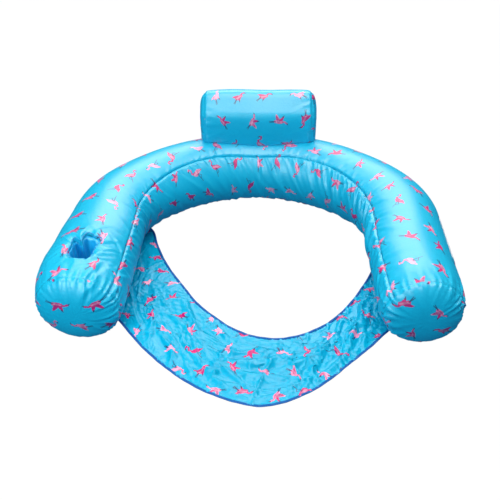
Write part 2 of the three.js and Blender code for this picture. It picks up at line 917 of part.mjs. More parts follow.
// The pillow's bladder, open through its valve port.
{
  const pillow = (inset) => {
    const base = inset,
      xs = [-1, -0.97, -0.9, -0.75, -0.4, 0, 0.4, 0.75, 0.9, 0.97, 1].map(
        (u) => u * (HEAD.half - inset),
      ),
      rings = xs.slice(1, -1).map((x) => headRow(x, inset, base)),
      end = (x) => V(x, HEAD.y + Y0, HEAD.base + base + 6);
    return skin(end(xs[0]), rings, end(xs[xs.length - 1]));
  };
  const cut = solid(
    moved(
      box(-HEAD_ZIP / 2 - 2, HEAD_ZIP / 2 + 2, -ZIP.tape - 3, ZIP.tape + 3, -1.6, 14),
      headZipFrame,
    ),
  );
  const cut2 = solid(
    moved(
      box(-HEAD_ZIP / 2 - 4, HEAD_ZIP / 2 + 4, -ZIP.tape - 5, ZIP.tape + 5, -3.0, 14),
      headZipFrame,
    ),
  );
  const flat = solid(moved(box(-12, 12, -12, 12, -0.1, 30), headValveFrame)),
    flat2 = solid(moved(box(-14, 14, -14, 14, -1.5, 30), headValveFrame));
  add(
    "headrest_bladder",
    geometryOf(
      solid(pillow(3.4))
        .subtract(cut)
        .subtract(flat)
        .subtract(solid(pillow(3.4 + FILM + 0.6)).subtract(cut2).subtract(flat2))
        .subtract(solid(moved(rod(4.8, -8, 8, 16), headValveFrame))),
    ),
    clearFilm,
    headrest,
  );
}
{
  const body = solid(
      lathe(
        [
          [3.9, -5],
          [4.7, -5],
          [4.7, 0.3],
          [10.4, 0.3],
          [10.4, 1.5],
          [5.4, 1.5],
          [5.4, 11],
          [3.9, 11],
          [3.9, -5],
        ],
        18,
      ),
    ),
    post = solid(box(8.4, 9.6, -1.8, 1.8, 1.2, 10.1));
  add(
    "headrest_valve_base",
    moved(geometryOf(body.add(post)), headValveFrame),
    valveWhite,
    headrest,
  );
}
// The plug turns on its strap, out of the stem's bore.
{
  const stem = solid(
      lathe([[0, 5.5], [1.8, 5.5], [3.0, 11.2], [6.4, 11.4], [6.4, 13.2], [0, 13.2]], 18),
    ),
    strap = solid(box(5.5, 9.8, -1.8, 1.8, 11.4, 12.6));
  add(
    "headrest_valve_plug",
    moved(geometryOf(stem.add(strap)), headValveFrame),
    valveWhite,
    headrest,
  );
}
zipper("headrest_zipper", headZipFrame, HEAD_ZIP, headrest);

// The skirt between the tube's crown and the headrest's base, a closed band.
{
  const dense = [];
  for (let i = 0; i <= 400; i++) {
    const t = Math.PI * (i / 400),
      p = 2 / BACK_POWER,
      c = Math.cos(t);
    dense.push([
      Math.sign(c) * TUBE_HALF_SPAN * Math.pow(Math.abs(c), p),
      BACK_DEPTH * Math.pow(Math.sin(t), p),
    ]);
  }
  const crown = (x, y) => {
    let d = 1e9,
      r = 0;
    for (const [cx, cy] of dense) {
      const e = Math.hypot(x - cx, y - cy);
      if (e < d) {
        d = e;
        r = radiusAt(cy);
      }
    }
    return SQUAT * r * (1 + Math.sqrt(Math.max(0, 1 - (d / r) * (d / r))));
  };
  const N = 36,
    loop = (inset) => {
      const fine = [];
      for (let i = 0; i <= 720; i++) {
        const q = (2 * Math.PI * i) / 720,
          c = Math.cos(q),
          s = Math.sin(q),
          p = 2 / 5;
        fine.push([
          Math.sign(c) * Math.pow(Math.abs(c), p) * (HEAD.half - 9 - inset),
          HEAD.y + Math.sign(s) * Math.pow(Math.abs(s), p) * (HEAD.thick - 1.5 - inset),
        ]);
      }
      const at = [0];
      for (let i = 1; i < fine.length; i++)
        at.push(
          at[i - 1] +
            Math.hypot(fine[i][0] - fine[i - 1][0], fine[i][1] - fine[i - 1][1]),
        );
      const out = [];
      for (let k = 0, i = 0; k < N; k++) {
        while (at[i] < (at[at.length - 1] * k) / N - 1e-9) i++;
        out.push(fine[i]);
      }
      return out;
    };
  const A = loop(0),
    B = loop(SKIN),
    pts = [],
    t = [];
  for (let i = 0; i < N; i++) {
    const low = crown(A[i][0], A[i][1]),
      lowB = crown(B[i][0], B[i][1]);
    pts.push(
      V(A[i][0], A[i][1] + Y0, low + 1.2),
      V(A[i][0], A[i][1] + Y0, HEAD.base - 0.5),
      V(B[i][0], B[i][1] + Y0, HEAD.base - 0.5),
      V(B[i][0], B[i][1] + Y0, lowB + 1.2),
    );
  }
  for (let i = 0; i < N; i++) {
    const j = (i + 1) % N;
    for (let k = 0; k < 4; k++) {
      const l = (k + 1) % 4,
        a = 4 * i + k,
        b = 4 * i + l,
        c = 4 * j + k,
        d = 4 * j + l;
      t.push(a, b, d, a, d, c);
    }
  }
  add("headrest_skirt", fromTriangles(pts, t), cyanSatin);
}

export default part;
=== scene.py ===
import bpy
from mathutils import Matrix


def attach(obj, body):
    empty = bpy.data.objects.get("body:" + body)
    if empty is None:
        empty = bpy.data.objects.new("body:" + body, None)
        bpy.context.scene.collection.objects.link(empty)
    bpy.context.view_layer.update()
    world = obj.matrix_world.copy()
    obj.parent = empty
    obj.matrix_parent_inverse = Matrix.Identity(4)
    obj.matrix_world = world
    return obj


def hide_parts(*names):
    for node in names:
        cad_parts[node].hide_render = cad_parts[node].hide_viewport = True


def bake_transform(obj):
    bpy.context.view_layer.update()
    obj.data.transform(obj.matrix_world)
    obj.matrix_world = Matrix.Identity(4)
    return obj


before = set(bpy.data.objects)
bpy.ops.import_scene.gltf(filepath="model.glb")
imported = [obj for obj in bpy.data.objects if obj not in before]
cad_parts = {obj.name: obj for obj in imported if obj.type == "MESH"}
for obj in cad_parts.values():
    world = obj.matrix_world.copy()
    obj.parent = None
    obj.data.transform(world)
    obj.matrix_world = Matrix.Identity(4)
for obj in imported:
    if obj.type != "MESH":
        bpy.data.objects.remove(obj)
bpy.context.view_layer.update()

import math

import bmesh
import bpy
import numpy as np
from mathutils import Matrix, Vector

RNG = np.random.default_rng(20261)
scene = bpy.context.scene

# ------------------------------------------------------------------ sizes, metres
Y0 = 0.0576  # straight-to-curved line of the U, in the frame
HALF_SPAN, BACK_DEPTH, BACK_POWER = 0.400, 0.3298, 1.8166
ARM_LENGTH, TOE_IN, BOW = 0.3454, 0.0155, 0.0103
R_END, R_BACK, SQUAT = 0.0974, 0.1028, 0.97
END_DOME = 0.033
SEAM_OUT, SEAM_LOW = -8.0, 250.0  # degrees round the section
SEAM_ARM, SEAM_MID, SEAM_DIP = 149.0, 127.0, 9.0
CUP = (-0.3946, -0.1804)

# ------------------------------------------------------------------ centreline
def _centreline():
    pts = []
    for s in np.linspace(1, 0, 400, endpoint=False):
        pts.append((-(HALF_SPAN + BOW * s * s - TOE_IN * s), -ARM_LENGTH * s))
    for t in np.linspace(math.pi, 0, 1600):
        p = 2 / BACK_POWER
        pts.append(
            (
                math.copysign(HALF_SPAN * abs(math.cos(t)) ** p, math.cos(t)),
                BACK_DEPTH * max(math.sin(t), 0) ** p,
            )
        )
    for s in np.linspace(0, 1, 401)[1:]:
        pts.append((HALF_SPAN + BOW * s * s - TOE_IN * s, -ARM_LENGTH * s))
    p = np.array(pts)
    w = np.r_[0, np.cumsum(np.hypot(*np.diff(p, axis=0).T))]
    keep = np.r_[True, np.diff(w) > 1e-9]
    p, w = p[keep], w[keep]
    u = np.linspace(0, w[-1], 2401)
    q = np.c_[np.interp(u, w, p[:, 0]), np.interp(u, w, p[:, 1])]
    k = np.hanning(41)
    k /= k.sum()
    sm = q.copy()
    for i in range(2):
        pad = np.r_[2 * q[0, i] - q[20:0:-1, i], q[:, i], 2 * q[-1, i] - q[-2:-22:-1, i]]
        sm[:, i] = np.convolve(pad, k, "valid")
    t = np.gradient(sm, u, axis=0)
    t /= np.linalg.norm(t, axis=1)[:, None]
    return u, sm, t


CW, CP, CT = _centreline()
LENGTH = float(CW[-1])


def cl(w):
    """Centre, outward normal, tangent and radius at arc length w."""
    x, y = np.interp(w, CW, CP[:, 0]), np.interp(w, CW, CP[:, 1])
    tx, ty = np.interp(w, CW, CT[:, 0]), np.interp(w, CW, CT[:, 1])
    l = np.hypot(tx, ty)
    tx, ty = tx / l, ty / l
    r = R_END + (R_BACK - R_END) * (y + ARM_LENGTH) / (BACK_DEPTH + ARM_LENGTH)
    return x, y, -ty, tx, tx, ty, r


def smooth(a, b, x):
    t = np.clip((x - a) / (b - a), 0, 1)
    return t * t * (3 - 2 * t)


def seam_angle(w):
    x, y, *_ = cl(w)
    b = np.clip(y / BACK_DEPTH, 0, 1)
    return SEAM_ARM + (SEAM_MID - SEAM_ARM) * b * b * (3 - 2 * b) + SEAM_DIP * b * np.exp(-((x / 0.115) ** 2))


FULL_W = [0.0, 0.03, 0.06, 0.09, 0.12, 0.15, 0.18, 0.24, 0.30, 0.36, 0.45]
FULL_B = [0.0054, 0.012, 0.0185, 0.022, 0.023, 0.020, 0.0165, 0.012, 0.004, -0.001, 0.0]
SLIM_W = [0.0, 0.03, 0.06, 0.10]
SLIM_B = [-0.0085, -0.004, -0.001, 0.0]


def tube_point(w, deg, inset=0.0, scale=1.0, along=0.0):
    """Points of the tube at arc length w and section angle deg."""
    x, y, nx, ny, tx, ty, r = cl(w)
    q = np.radians(deg)
    c, s = np.cos(q), np.sin(q)
    e = np.minimum(w, LENGTH - w)
    pull = 1 - 0.034 * np.exp(-((e / 0.024) ** 2))  # drawn in a little where the end panel is sewn on
    rr = r - inset
    h = rr * c * scale * pull
    zc = r * SQUAT
    v = (zc - inset) * s * scale * pull
    z = zc + v
    # the left arm is fuller on its upper outer side, round the cup pocket; the right arm's end is slimmer
    near = np.clip(np.cos(np.radians(deg) - 0.44), 0, 1) ** 2
    fuller = np.where(x < 0, np.interp(w, FULL_W, FULL_B), 0) + np.where(x > 0, np.interp(LENGTH - w, SLIM_W, SLIM_B), 0)
    add = fuller * near * scale
    h = h + add * c
    z = z + add * s * 0.6
    lo = 0.0012 + inset
    z = lo + np.logaddexp(0, (z - lo) / 0.0012) * 0.0012  # rests flat on the ground
    X = x + nx * h + tx * along
    Y = y + ny * h + ty * along + Y0
    return np.stack([X, Y, z], -1)


def tube_normal(w, deg):
    x, y, nx, ny, tx, ty, r = cl(w)
    q = np.radians(deg)
    c, s = np.cos(q), np.sin(q)
    n = np.stack([nx * c, ny * c, s], -1)
    return n / np.linalg.norm(n, axis=-1, keepdims=True)


# ------------------------------------------------------------------ mesh helpers
def new_mesh(name, verts, faces, uvs=None, smooth_shade=True):
    me = bpy.data.meshes.new(name)
    me.from_pydata([tuple(map(float, v)) for v in verts], [], faces)
    if uvs is not None:
        lay = me.uv_layers.new(name="UVMap")
        uv = np.asarray(uvs, float)
        idx = np.empty(len(me.loops), int)
        me.loops.foreach_get("vertex_index", idx)
        lay.data.foreach_set("uv", uv[idx].ravel())
    if smooth_shade:
        me.polygons.foreach_set("use_smooth", [True] * len(me.polygons))
    me.validate()
    me.update()
    ob = bpy.data.objects.new(name, me)
    scene.collection.objects.link(ob)
    return ob


def grid_faces(nu, nv, base=0, flip=False, wrap=False):
    out = []
    cols = nv if wrap else nv - 1
    for i in range(nu - 1):
        for j in range(cols):
            a = base + i * nv + j
            b = base + i * nv + (j + 1) % nv
            c, d = b + nv, a + nv
            out.append((a, d, c, b) if flip else (a, b, c, d))
    return out


def solidify(ob, t, offset=-1.0):
    m = ob.modifiers.new("thickness", "SOLIDIFY")
    m.thickness, m.offset, m.use_even_offset = t, offset, False
    return m


def apply_all(ob):
    dg = bpy.context.evaluated_depsgraph_get()
    me = bpy.data.meshes.new_from_object(ob.evaluated_get(dg))
    old = ob.data
    ob.modifiers.clear()
    ob.data = me
    me.name = old.name
    return ob


# ------------------------------------------------------------------ wrinkle fields
def ridge(u):
    """A soft fold with a valley beside it."""
    return np.exp(-np.abs(u) ** 1.7) - 0.55 * np.exp(-np.abs(u - 1.5) ** 2.0)


class Folds:
    """Puckers that start at a seam and die away from it."""

    def __init__(self, seed, lo, hi, spacing, sigma, length, amp, slant=(0, 0.15)):
        r = np.random.default_rng(seed)
        n = max(1, int((hi - lo) / spacing))
        self.w = lo + (np.arange(n) + r.uniform(0.1, 0.9, n)) * (hi - lo) / n
        self.s = r.uniform(*sigma, n)
        self.l = r.uniform(*length, n)
        self.a = r.uniform(*amp, n) * r.choice([1, 1, 1, -0.6], n)
        self.k = r.normal(slant[0], slant[1], n)

    def at(self, W, D, gain=None):
        W, D = np.broadcast_arrays(W, np.maximum(D, 0))
        out = np.zeros(W.shape)
        for w, s, l, a, k in zip(self.w, self.s, self.l, self.a, self.k):
            near = np.abs(W - w) < 5 * s + abs(k) * 3 * l
            if not near.any():
                continue
            g = a if gain is None else a * float(np.interp(w, *gain))
            u = (W[near] - w - k * D[near]) / (s * (1 + 0.9 * D[near] / l))
            out[near] += g * ridge(u) * np.exp(-((D[near] / l) ** 1.4))
        return out


# ------------------------------------------------------------------ the tube's cover
P_TOP_IN = Folds(11, 0.0, LENGTH, 0.0130, (0.0030, 0.0058), (0.012, 0.042), (0.0007, 0.0022), (0.15, 0.35))
P_INNER_UP = Folds(12, 0.0, LENGTH, 0.0120, (0.0032, 0.0064), (0.018, 0.066), (0.0012, 0.0032), (0.45, 0.30))
P_INNER_LOW = Folds(13, 0.0, LENGTH, 0.0140, (0.0034, 0.0068), (0.020, 0.074), (0.0011, 0.0030), (-0.35, 0.30))
P_OUT = Folds(14, 0.0, LENGTH, 0.0150, (0.0032, 0.0062), (0.012, 0.036), (0.0005, 0.0014), (0.0, 0.3))
P_OUT2 = Folds(15, 0.0, LENGTH, 0.0150, (0.0032, 0.0062), (0.012, 0.040), (0.0005, 0.0015), (0.0, 0.3))
G_LONG = Folds(16, 0.26, LENGTH - 0.10, 0.028, (0.0048, 0.0095), (0.15, 0.30), (0.0022, 0.0050), (0.62, 0.22))
G_GAIN = ([0.0, 0.45, 0.80, 1.10, 1.30, 1.52, 1.75, LENGTH], [0.5, 0.7, 0.55, 0.6, 1.1, 1.5, 1.0, 0.6])
SEAM_GAIN = ([0.0, 0.4, 0.9, 1.2, 1.5, LENGTH], [1.0, 0.8, 0.7, 0.9, 1.25, 1.0])
END_FOLDS = [
    Folds(21, -0.06, 0.56, 0.0118, (0.0030, 0.0056), (0.016, 0.058), (0.0011, 0.0032), (0.0, 0.25)),
    Folds(22, -0.06, 0.56, 0.0118, (0.0030, 0.0056), (0.016, 0.058), (0.0011, 0.0032), (0.0, 0.25)),
]
# where round the end the gathers are strongest, metres from the outer side over the top
END_GAIN = [
    ([-0.06, 0.02, 0.06, 0.14, 0.20, 0.30, 0.37, 0.42, 0.56], [0.35, 0.7, 0.6, 0.9, 1.6, 1.8, 1.2, 0.35, 0.30]),
    ([-0.06, 0.00, 0.03, 0.07, 0.14, 0.22, 0.29, 0.36, 0.42, 0.56], [0.35, 0.9, 1.5, 1.5, 0.9, 1.0, 1.5, 1.4, 0.35, 0.30]),
]


def groove(d, depth=0.0036, width=0.0036):
    return depth * np.exp(-((d / width) ** 2))


def ramp(d, a=0.0045):
    t = np.clip(d / a, 0, 1)
    return t * t * (3 - 2 * t)


def tube_field(w, deg, part):
    """How far a cover panel stands out of, or into, the plain tube."""
    *_, r = cl(w)
    sa = seam_angle(w)
    if part == "top":
        up = np.radians(sa - deg) * r
        low = np.radians(deg - SEAM_OUT) * r
        d = P_TOP_IN.at(w, up, SEAM_GAIN) + P_OUT.at(w, low)
        d += 0.0010 * np.sin(w * 23 + 1.3) * np.sin(np.radians(deg) * 2.2 + w * 5)
    elif part == "inner":
        up = np.radians(deg - sa) * r
        low = np.radians(SEAM_LOW - deg) * r
        d = P_INNER_UP.at(w, up, SEAM_GAIN) + P_INNER_LOW.at(w, low)
        body = np.clip(up / 0.010, 0, 1) * np.clip(low / 0.02, 0, 1)
        d += G_LONG.at(w, up, G_GAIN) * body
    else:
        low = np.radians(deg - SEAM_LOW) * r
        up = np.radians(360 + SEAM_OUT - deg) * r
        d = P_OUT2.at(w, up)
    # gathers where an arm's end panel is sewn on
    for k, e in ((0, w), (1, LENGTH - w)):
        if (e < 0.25).any():
            f = END_FOLDS[k].at(around(deg), e, END_GAIN[k])
            d += f * (1 if part != "bottom" else 0.6)
        d *= 0.35 + 0.65 * ramp(e)
    d *= ramp(up) * ramp(low)
    for e in (up, low):
        d -= groove(e)
    for e in (w, LENGTH - w):
        d -= groove(e, 0.0017, 0.0034)
    return d


def around(deg):
    return ((np.radians(deg) + 0.6) % (2 * np.pi) - 0.6) * 0.0975


def end_ring(w0, deg):
    """The same field on an arm's very end, whichever panel is there."""
    d = (np.asarray(deg) - SEAM_OUT) % 360 + SEAM_OUT
    sa = float(seam_angle(np.array([w0]))[0])
    w = np.full(len(d), w0)
    return np.select([d < sa, d < SEAM_LOW], [tube_field(w, d, "top"), tube_field(w, d, "inner")], tube_field(w, d, "bottom"))


def local(frame_p, fx, fy, fz, P):
    q = P - np.array(frame_p)
    return q @ np.array(fx), q @ np.array(fy), q @ np.array(fz)


VALVE = ((-0.301394, 0.375362, 0.134617), (0.80766, 0.58961, -0.00704), (-0.22925, 0.303, -0.92501), (-0.54326, 0.7487, 0.37989))
ZIP = ((0.493067, -0.1154, 0.082675), (0.00136, 0.99995, 0.00971), (0.13917, -0.0098, 0.99022), (0.99027, 0.0, -0.13917))
HZIP = ((0.0, 0.4504, 0.2335), (-1.0, 0.0, 0.0), (0.0, 0.0, 1.0), (0.0, 1.0, 0.0))
HVALVE = ((-0.070, 0.444, 0.2815), (1.0, 0.0, 0.0), (0.0, 0.15799, -0.98744), (0.0, 0.98744, 0.15799))


def press(P, frame4, hx, hy, top, slope=0.45, round_=False):
    """Cloth lies flat under a stiff fitting: it stays below top there, and leaves at a slope."""
    a, b, c = local(*frame4, P)
    if round_:
        out = np.clip(np.hypot(a, b) - hx, 0, None)
    else:
        out = np.hypot(np.clip(np.abs(a) - hx, 0, None), np.clip(np.abs(b) - hy, 0, None))
    lim = top + slope * out - 0.0006 * np.exp(-((out / 0.004) ** 2)) * (out > 0)
    near = (np.abs(a) < hx + 0.08) & (np.abs(b) < hy + 0.08) & (np.abs(c) < 0.05)
    down = np.where(near, np.clip(c - lim, 0, None), 0)
    return P - down[..., None] * np.array(frame4[3])


def pocket_gathers(X, Y):
    """The cloth round the cup pocket's mouth, seen from above."""
    dx, dy = X - CUP[0], Y - CUP[1]
    rho = np.hypot(dx, dy)
    phi = np.arctan2(dy, dx)
    rim = cup_rim(phi)
    off = np.clip(rho - rim, 0, None)
    g = np.zeros_like(rho)
    r = np.random.default_rng(77)
    for k in range(24):
        a = -math.pi + 2 * math.pi * (k + r.uniform(-0.35, 0.35)) / 24
        s = r.uniform(0.05, 0.12)
        amp = r.uniform(0.0016, 0.0046)
        l = r.uniform(0.016, 0.050)
        tw = r.normal(0, 4.0)
        da = (phi - a - tw * off + math.pi) % (2 * math.pi) - math.pi
        g += amp * ridge(da / s) * np.exp(-((off / l) ** 1.3))
    # creases that run from the mouth to the arm's inner side, and one that curls round behind them
    for x0, y0, x1, y1, wd, am in (
        (0.040, -0.020, 0.076, 0.010, 0.0048, 0.0042), (0.046, -0.002, 0.078, 0.026, 0.0040, 0.0034),
        (0.038, 0.022, 0.066, 0.050, 0.0045, 0.0036), (0.030, -0.038, 0.060, -0.022, 0.0042, 0.0034),
        (-0.044, 0.004, -0.074, 0.016, 0.0042, 0.0030), (-0.040, -0.020, -0.070, -0.034, 0.0046, 0.0030),
        (-0.030, 0.040, -0.050, 0.070, 0.0044, 0.0028),
    ):
        ex, ey = x1 - x0, y1 - y0
        q = np.clip(((dx - x0) * ex + (dy - y0) * ey) / (ex * ex + ey * ey), 0, 1)
        side = ((dx - x0) * ey - (dy - y0) * ex) / math.hypot(ex, ey)
        along = (dx - x0 - q * ex) ** 2 + (dy - y0 - q * ey) ** 2
        g += am * ridge(side / wd) * np.exp(-np.clip(along - side ** 2, 0, None) / 0.00016) * (1 - 0.5 * q)
    arc = np.hypot(dx - 0.010, dy + 0.002)
    span = np.exp(-(((np.arctan2(dy, dx - 0.01) - 0.15) / 0.75) ** 4))
    g -= 0.0036 * np.exp(-(((arc - 0.071) / 0.0042) ** 2)) * span
    g += 0.0026 * np.exp(-(((arc - 0.0795) / 0.006) ** 2)) * span
    dip = -0.010 * np.exp(-((off / 0.011) ** 1.2))
    near = np.exp(-((off / 0.020) ** 2))
    # in front of the mouth the cloth stands up in a soft roll; behind, it is drawn up
    front = np.clip(-np.sin(phi), 0, 1)
    roll = 0.0060 * np.exp(-(((off - 0.010) / 0.0085) ** 2)) * front
    back = 0.0075 * np.exp(-((off / 0.030) ** 2)) * np.clip(np.sin(phi), 0, 1)
    return dip + g * (0.45 + 0.55 * (1 - near * 0.6)) + roll + back


RIM_DEG = [-180, -160, -142, -120, -96, -76, -60, -40, -16, 0, 20, 36, 48, 55, 62, 70, 80, 88, 98, 106, 112, 118, 124, 130, 140, 155, 166, 180]
RIM_MM = [33, 36, 39, 42, 43, 45, 40, 31, 26, 25, 28, 40, 54, 57, 49, 46, 54, 56, 50, 35, 21, 21, 42, 47, 42, 35, 33, 33]


def cup_rim(phi):
    """Radius of the mouth by direction: drawn in at the sides, with a tongue of slack cloth drooping over its back edge."""
    d = np.degrees(phi)
    r = np.zeros_like(d)
    for o, k in ((-3.0, 0.25), (0.0, 0.5), (3.0, 0.25)):
        r = r + k * np.interp((d + o + 180) % 360 - 180, RIM_DEG, RIM_MM)
    return r / 1000 + 0.0006 * np.sin(9 * phi + 0.4)


def lay_panel(W, D, part):
    P = tube_point(W, D)
    N = tube_normal(W, D)
    P = P + N * tube_field(W, D, part)[..., None]
    if part == "top":
        near = np.hypot(P[..., 0] - CUP[0], P[..., 1] - CUP[1]) < 0.15
        if near.any():
            P[..., 2] += np.where(near, pocket_gathers(P[..., 0], P[..., 1]), 0) * np.clip(N[..., 2], 0, 1)
        P = press(P, VALVE, 0.0265, 0.0265, -0.0001, 0.30, True)
    if part in ("top", "bottom"):
        P = press(P, ZIP, 0.1475, 0.0125, -0.0013, 0.45)
    P[..., 2] = np.maximum(P[..., 2], 0.0006)
    return P


FINE = 0.066  # length of the finer cloth next to an arm's end
STEP = 0.0026


def panel_arrays(nc, lo, hi, step):
    """Grid zones: fine near both ends, coarse between; with the faces that join them."""
    bend = lambda v: v - 0.55 * np.sin(2 * np.pi * v) / (2 * np.pi)
    vc = bend(np.linspace(0, 1, nc))
    vf = bend(np.linspace(0, 1, 2 * nc - 1))
    e = np.r_[0.0, 0.0012, 0.0025, 0.0040, 0.0060, 0.0082]
    wa = np.r_[e, np.arange(0.0108, FINE, 0.0027)]
    wb = np.linspace(FINE + 0.0025, LENGTH - FINE - 0.0025, int((LENGTH - 2 * FINE) / step))
    wc = LENGTH - wa[::-1]
    rows = [(w, vf) for w in wa] + [(w, vc) for w in wb] + [(w, vf) for w in wc]
    start, W, D = [], [], []
    n = 0
    for w, v in rows:
        start.append(n)
        l = lo(np.array(w)) if callable(lo) else lo
        h = hi(np.array(w)) if callable(hi) else hi
        W.append(np.full(len(v), w))
        D.append(l + (h - l) * v)
        n += len(v)
    faces = []
    for i in range(len(rows) - 1):
        na, nb, a, b = len(rows[i][1]), len(rows[i + 1][1]), start[i], start[i + 1]
        if na == nb:
            faces += [(a + j, b + j, b + j + 1, a + j + 1) for j in range(na - 1)]
        elif na > nb:
            for j in range(nb - 1):
                faces += [(b + j, b + j + 1, a + 2 * j + 1), (b + j, a + 2 * j + 1, a + 2 * j), (b + j + 1, a + 2 * j + 2, a + 2 * j + 1)]
        else:
            for j in range(na - 1):
                faces += [(a + j, b + 2 * j + 1, a + j + 1), (a + j, b + 2 * j, b + 2 * j + 1), (a + j + 1, b + 2 * j + 1, b + 2 * j + 2)]
    return np.concatenate(W), np.concatenate(D), faces, start, len(wa), len(wb)


def face_out(ob, centre_of):
    """Turns every face of a shell so that it looks away from its inside."""
    bm = bmesh.new()
    bm.from_mesh(ob.data)
    score = 0
    for f in list(bm.faces)[:: max(1, len(bm.faces) // 400)]:
        c = np.array(f.calc_center_median())
        score += 1 if np.dot(np.array(f.normal), c - centre_of(c)) > 0 else -1
    if score < 0:
        bmesh.ops.reverse_faces(bm, faces=bm.faces)
    bm.to_mesh(ob.data)
    bm.free()
    ob.data.update()


def tube_axis(c):
    i = np.argmin(np.hypot(CP[:, 0] - c[0], CP[:, 1] + Y0 - c[1]))
    return np.array([CP[i, 0], CP[i, 1] + Y0, 0.0975])


def drop_unused(verts, faces, uvs):
    used = sorted({q for f in faces for q in f})
    back = {q: i for i, q in enumerate(used)}
    return [verts[q] for q in used], [tuple(back[q] for q in f) for f in faces], [uvs[q] for q in used]


NC_TOP = 54
NC_SIDE = 42
CUP_W = float(CW[np.argmin(np.hypot(CP[:, 0] - CUP[0], CP[:, 1] + Y0 - CUP[1]))])
# the section angle over the pocket's axis
_g = np.linspace(60, 120, 601)
CUP_A = float(_g[np.argmin(np.abs(tube_point(np.full(601, CUP_W), _g)[:, 0] - CUP[0]))])


def in_round(P, frame4, r, depth=0.03):
    a, b, c = local(*frame4, P)
    return (np.hypot(a, b) < r) & (np.abs(c) < depth)


def make_top_panel():
    W, D, faces, start, na, nb = panel_arrays(NC_TOP, SEAM_OUT, seam_angle, STEP)
    P = lay_panel(W, D, "top")
    uvs = list(np.stack([W, np.radians(D) * 0.1], -1))
    R = 0.084
    wb = [W[start[na + i]] for i in range(nb)]
    i0, i1 = int(np.searchsorted(wb, CUP_W - R)), int(np.searchsorted(wb, CUP_W + R))
    row = D[start[na + (i0 + i1) // 2] : start[na + (i0 + i1) // 2] + NC_TOP]
    j0, j1 = int(np.searchsorted(np.radians(row - CUP_A) * 0.1, -R)), int(np.searchsorted(np.radians(row - CUP_A) * 0.1, R))
    at = lambda i, j: start[na + i] + j
    gone = {at(i, j) for i in range(i0, i1) for j in range(j0, j1)}
    keep = []
    for f in faces:
        if len(f) == 4 and f[0] in gone:
            continue
        keep.append(f)
    faces = keep
    verts = list(P)
    loop = (
        [(i, j0) for i in range(i0, i1)]
        + [(i1, j) for j in range(j0, j1)]
        + [(i, j1) for i in range(i1, i0, -1)]
        + [(i0, j) for j in range(j1, j0, -1)]
    )
    ids = [at(i, j) for i, j in loop]
    lw = np.array([W[q] - CUP_W for q in ids])
    la = np.array([np.radians(D[q] - CUP_A) * 0.1 for q in ids])
    # the mouth is a curve in plan; the cloth's arm runs nearly along Y
    P0 = tube_point(np.array([CUP_W]), np.array([CUP_A]))[0]
    dY = tube_point(np.array([CUP_W + 0.01]), np.array([CUP_A]))[0] - P0
    dX = tube_point(np.array([CUP_W]), np.array([CUP_A + math.degrees(0.1)]))[0] - P0
    J = np.array([[dY[0] / 0.01, dX[0] / 0.01], [dY[1] / 0.01, dX[1] / 0.01]])
    Ji = np.linalg.inv(J)
    base_xy = np.array([lw, la]).T @ J.T
    phi = np.arctan2(base_xy[:, 1], base_xy[:, 0])
    rim_xy = np.c_[np.cos(phi), np.sin(phi)] * cup_rim(phi)[:, None]
    rim_wa = rim_xy @ Ji.T
    prev = ids
    rings = 26
    n = len(ids)
    for k in range(1, rings + 1):
        t = (k / rings) ** 0.8
        ww = CUP_W + lw * (1 - t) + rim_wa[:, 0] * t
        dd = CUP_A + np.degrees((la * (1 - t) + rim_wa[:, 1] * t) / 0.1)
        pp = lay_panel(ww, dd, "top")
        b = len(verts)
        verts += list(pp)
        uvs += list(np.stack([ww, np.radians(dd) * 0.1], -1))
        faces += [(prev[m], prev[(m + 1) % n], b + (m + 1) % n, b + m) for m in range(n)]
        prev = list(range(b, b + n))
    # the edge rolls down into the pocket; the tongue of slack cloth hangs lower and further in
    rim = np.array([verts[q] for q in prev])
    uvr = np.array([uvs[q] for q in prev])
    c = np.array([CUP[0], CUP[1]])
    dphi = (np.degrees(np.arctan2(rim[:, 1] - c[1], rim[:, 0] - c[0])) - 123 + 180) % 360 - 180
    hang = np.exp(-((dphi / 11) ** 2))
    for k, (pull, down) in enumerate([(0.985, 0.0012), (0.965, 0.0034), (0.955, 0.0065), (0.952, 0.0105)]):
        b = len(verts)
        pp = rim.copy()
        p_ = (pull - 0.05 * hang * (k + 1) / 4)[:, None]
        pp[:, :2] = c + (rim[:, :2] - c) * p_
        pp[:, 2] -= down * (1 + 0.9 * hang)
        verts += list(pp)
        uvs += list(uvr + np.array([0.002 * (k + 1), 0]))
        faces += [(prev[m], prev[(m + 1) % n], b + (m + 1) % n, b + m) for m in range(n)]
        prev = list(range(b, b + n))
    lip = np.array([verts[q] for q in prev])
    V = np.array(verts)
    hole = in_round(V, VALVE, 0.0185)
    faces = [f for f in faces if not all(hole[q] for q in f)]
    verts, faces, uvs = drop_unused(verts, faces, uvs)
    ob = new_mesh("top_cloth", verts, faces, uvs)
    face_out(ob, tube_axis)
    return ob, rim, lip


top_cloth, cup_edge, cup_lip = make_top_panel()


def make_plain_panel(name, part, a0, a1):
    W, D, faces, *_ = panel_arrays(NC_SIDE, a0, a1, STEP)
    P = lay_panel(W, D, part)
    ob = new_mesh(name, P, faces, np.stack([W, np.radians(D) * 0.1 + 0.003], -1))
    face_out(ob, tube_axis)
    return ob


inner_cloth = make_plain_panel("inner_cloth", "inner", seam_angle, SEAM_LOW)
bottom_cloth = make_plain_panel("bottom_cloth", "bottom", SEAM_LOW, 360 + SEAM_OUT)


